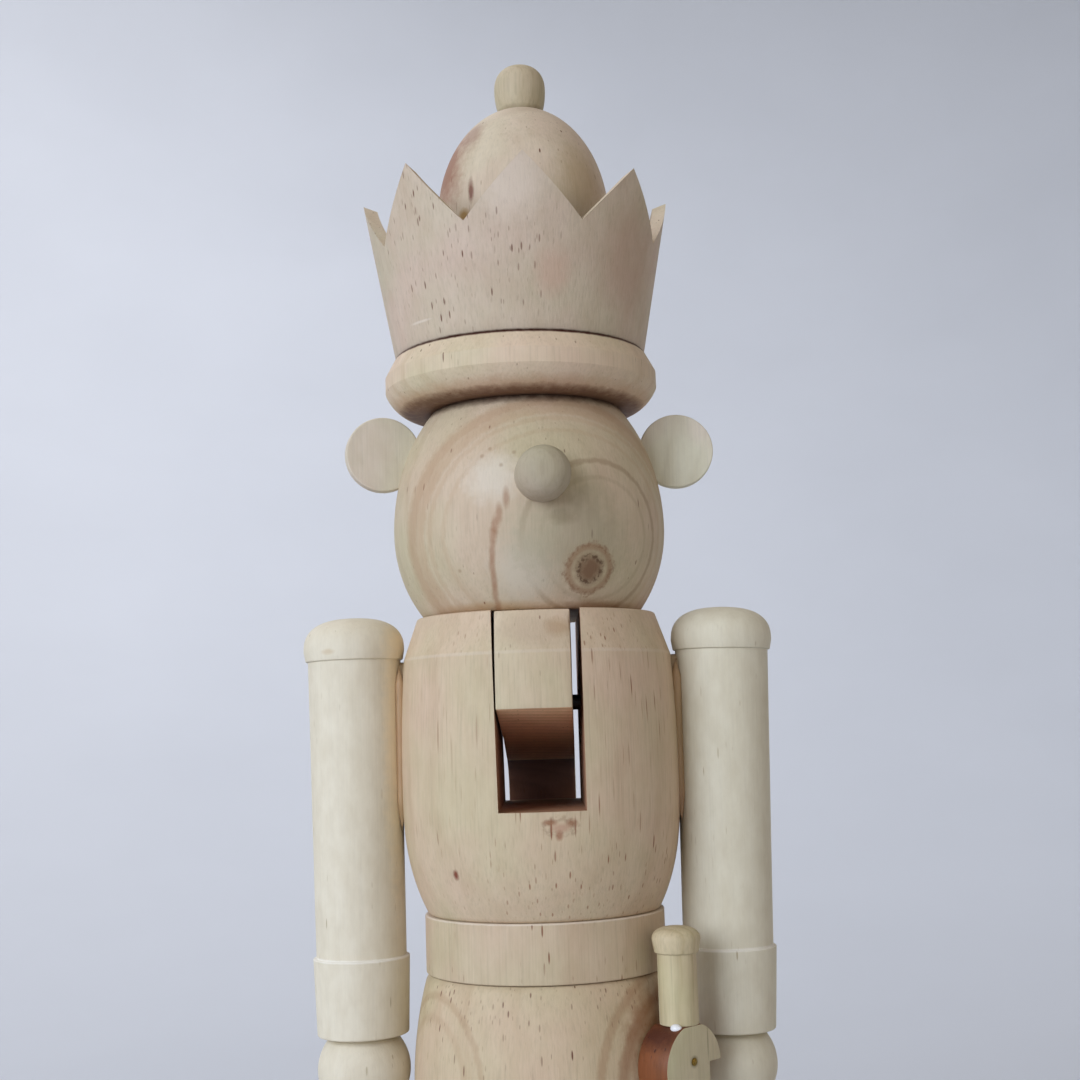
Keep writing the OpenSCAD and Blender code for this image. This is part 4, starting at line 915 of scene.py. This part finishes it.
# Dowels
# Plain beech dowels, glued into the joints between the turnings.
# They sit inside the figure, so their CAD solids stay and only get their wood.
dowel_wood = wood("beech dowel", "CBB89A", "A99074", log=(40, 40), ring=3, bands=0.4, pores=0.3)
for name in ("head_dowels", "arm_dowels", "waist_dowel", "leg_dowels", "base_dowels", "crown_dowel"):
    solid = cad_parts[name]
    solid.data.materials.clear()
    solid.data.materials.append(dowel_wood)

# Studio
# A matt, pale blue-grey paper sweep that rises all round, in pale air.
# A large soft key light stands at the upper left and a weak, warmer fill at the right.
# Three more lights, which hang above, even out the backdrop, the floor and the wall behind the camera.
paper = plain("pale backdrop paper", (0.003,) * 3, 4.0, ("CDD1D8", "D1D5DC"), (0.9, 0.9), specular=0.1)
across, rows, sweep_r, sweep_h, sweep_z = 96, 36, 2.8, 2.4, -0.0005
bend_mid, bend_more = 1.7, 0.5
points = [(0, 0, sweep_z)]
for k in range(rows + 1):
    a = math.pi / 2 * min(k / (rows - 1), 1)
    for way in steps(0, math.tau, across)[:-1]:
        bend = bend_mid + bend_more * math.sin(way)
        reach = sweep_r - bend + bend * math.sin(a)
        rise = bend - bend * math.cos(a) if k < rows else sweep_h
        points.append((reach * math.cos(way), reach * math.sin(way), rise + sweep_z))
faces = [[0, 1 + i, 1 + (i + 1) % across] for i in range(across)]
for k in range(rows):
    low, high = 1 + k * across, 1 + (k + 1) * across
    faces += [[low + i, high + i, high + (i + 1) % across, low + (i + 1) % across] for i in range(across)]
mesh = bpy.data.meshes.new("sweep")
mesh.from_pydata(points, [], faces)
mesh.shade_smooth()
mesh.materials.append(paper)
link("sweep", mesh)
for name, place, aim, size, spread, power, colour in (
        ("key", (-1.33, -1.46, 0.8), (0, 0, 0.27), 1.6, 90, 13.3, "E3EDFF"),
        ("fill", (1.3, -0.8, 0.45), (0, 0, 0.25), 1.4, 90, 1.1, "EDCEAA"),
        ("backdrop", (-0.9, 0.3, 2.5), (-0.8, 2.7, 0.5), 1.2, 120, 15, "F6F8FF"),
        ("floor", (-0.9, 1.7, 2.4), (-0.4, 1.3, 0), 1.5, 140, 9, "FAFAFF"),
        ("front wall", (0.5, 1.3, 2.0), (0, -2.6, 0.9), 1.0, 56, 7, "F6F8FF")):
    lamp = bpy.data.lights.new(name, "AREA")
    lamp.size = size
    lamp.spread = math.radians(spread)
    lamp.energy = power
    lamp.color = linear(colour)[:3]
    light = bpy.data.objects.new(name, lamp)
    scene.collection.objects.link(light)
    light.location = place
    light.rotation_euler = (Vector(aim) - Vector(place)).to_track_quat("-Z", "Y").to_euler()
world = bpy.data.worlds.new("pale air")
world.use_nodes = True
air = world.node_tree.nodes["Background"].inputs
air["Color"].default_value = linear("EFE6DA")
air["Strength"].default_value = 0.4
scene.world = world
scene.view_settings.view_transform = "Standard"

# Camera
# In front of the chest and below the crown, tilted up, with the picture turned a little.
# The lens comes from a focal length in pixels, fitted to the outline at the photo's width.
pitch, roll, sensor, focal_px, photo_px = math.radians(7), math.radians(1.8), 36, 1546.5, 1080
camera_place = at(1.5, -350, 224)
right, up = Vector((1, 0, 0)), Vector((0, -math.sin(pitch), math.cos(pitch)))
ahead = Vector((0, math.cos(pitch), math.sin(pitch)))
picture_x = right * math.cos(roll) - up * math.sin(roll)
picture_y = right * math.sin(roll) + up * math.cos(roll)
lens = bpy.data.cameras.new("camera")
lens.sensor_width = sensor
lens.lens = sensor * focal_px / photo_px
lens.clip_start = 0.01
camera = bpy.data.objects.new("camera", lens)
scene.collection.objects.link(camera)
camera.matrix_world = camera_place @ Matrix((picture_x, picture_y, -ahead)).transposed().to_4x4()
scene.camera = camera
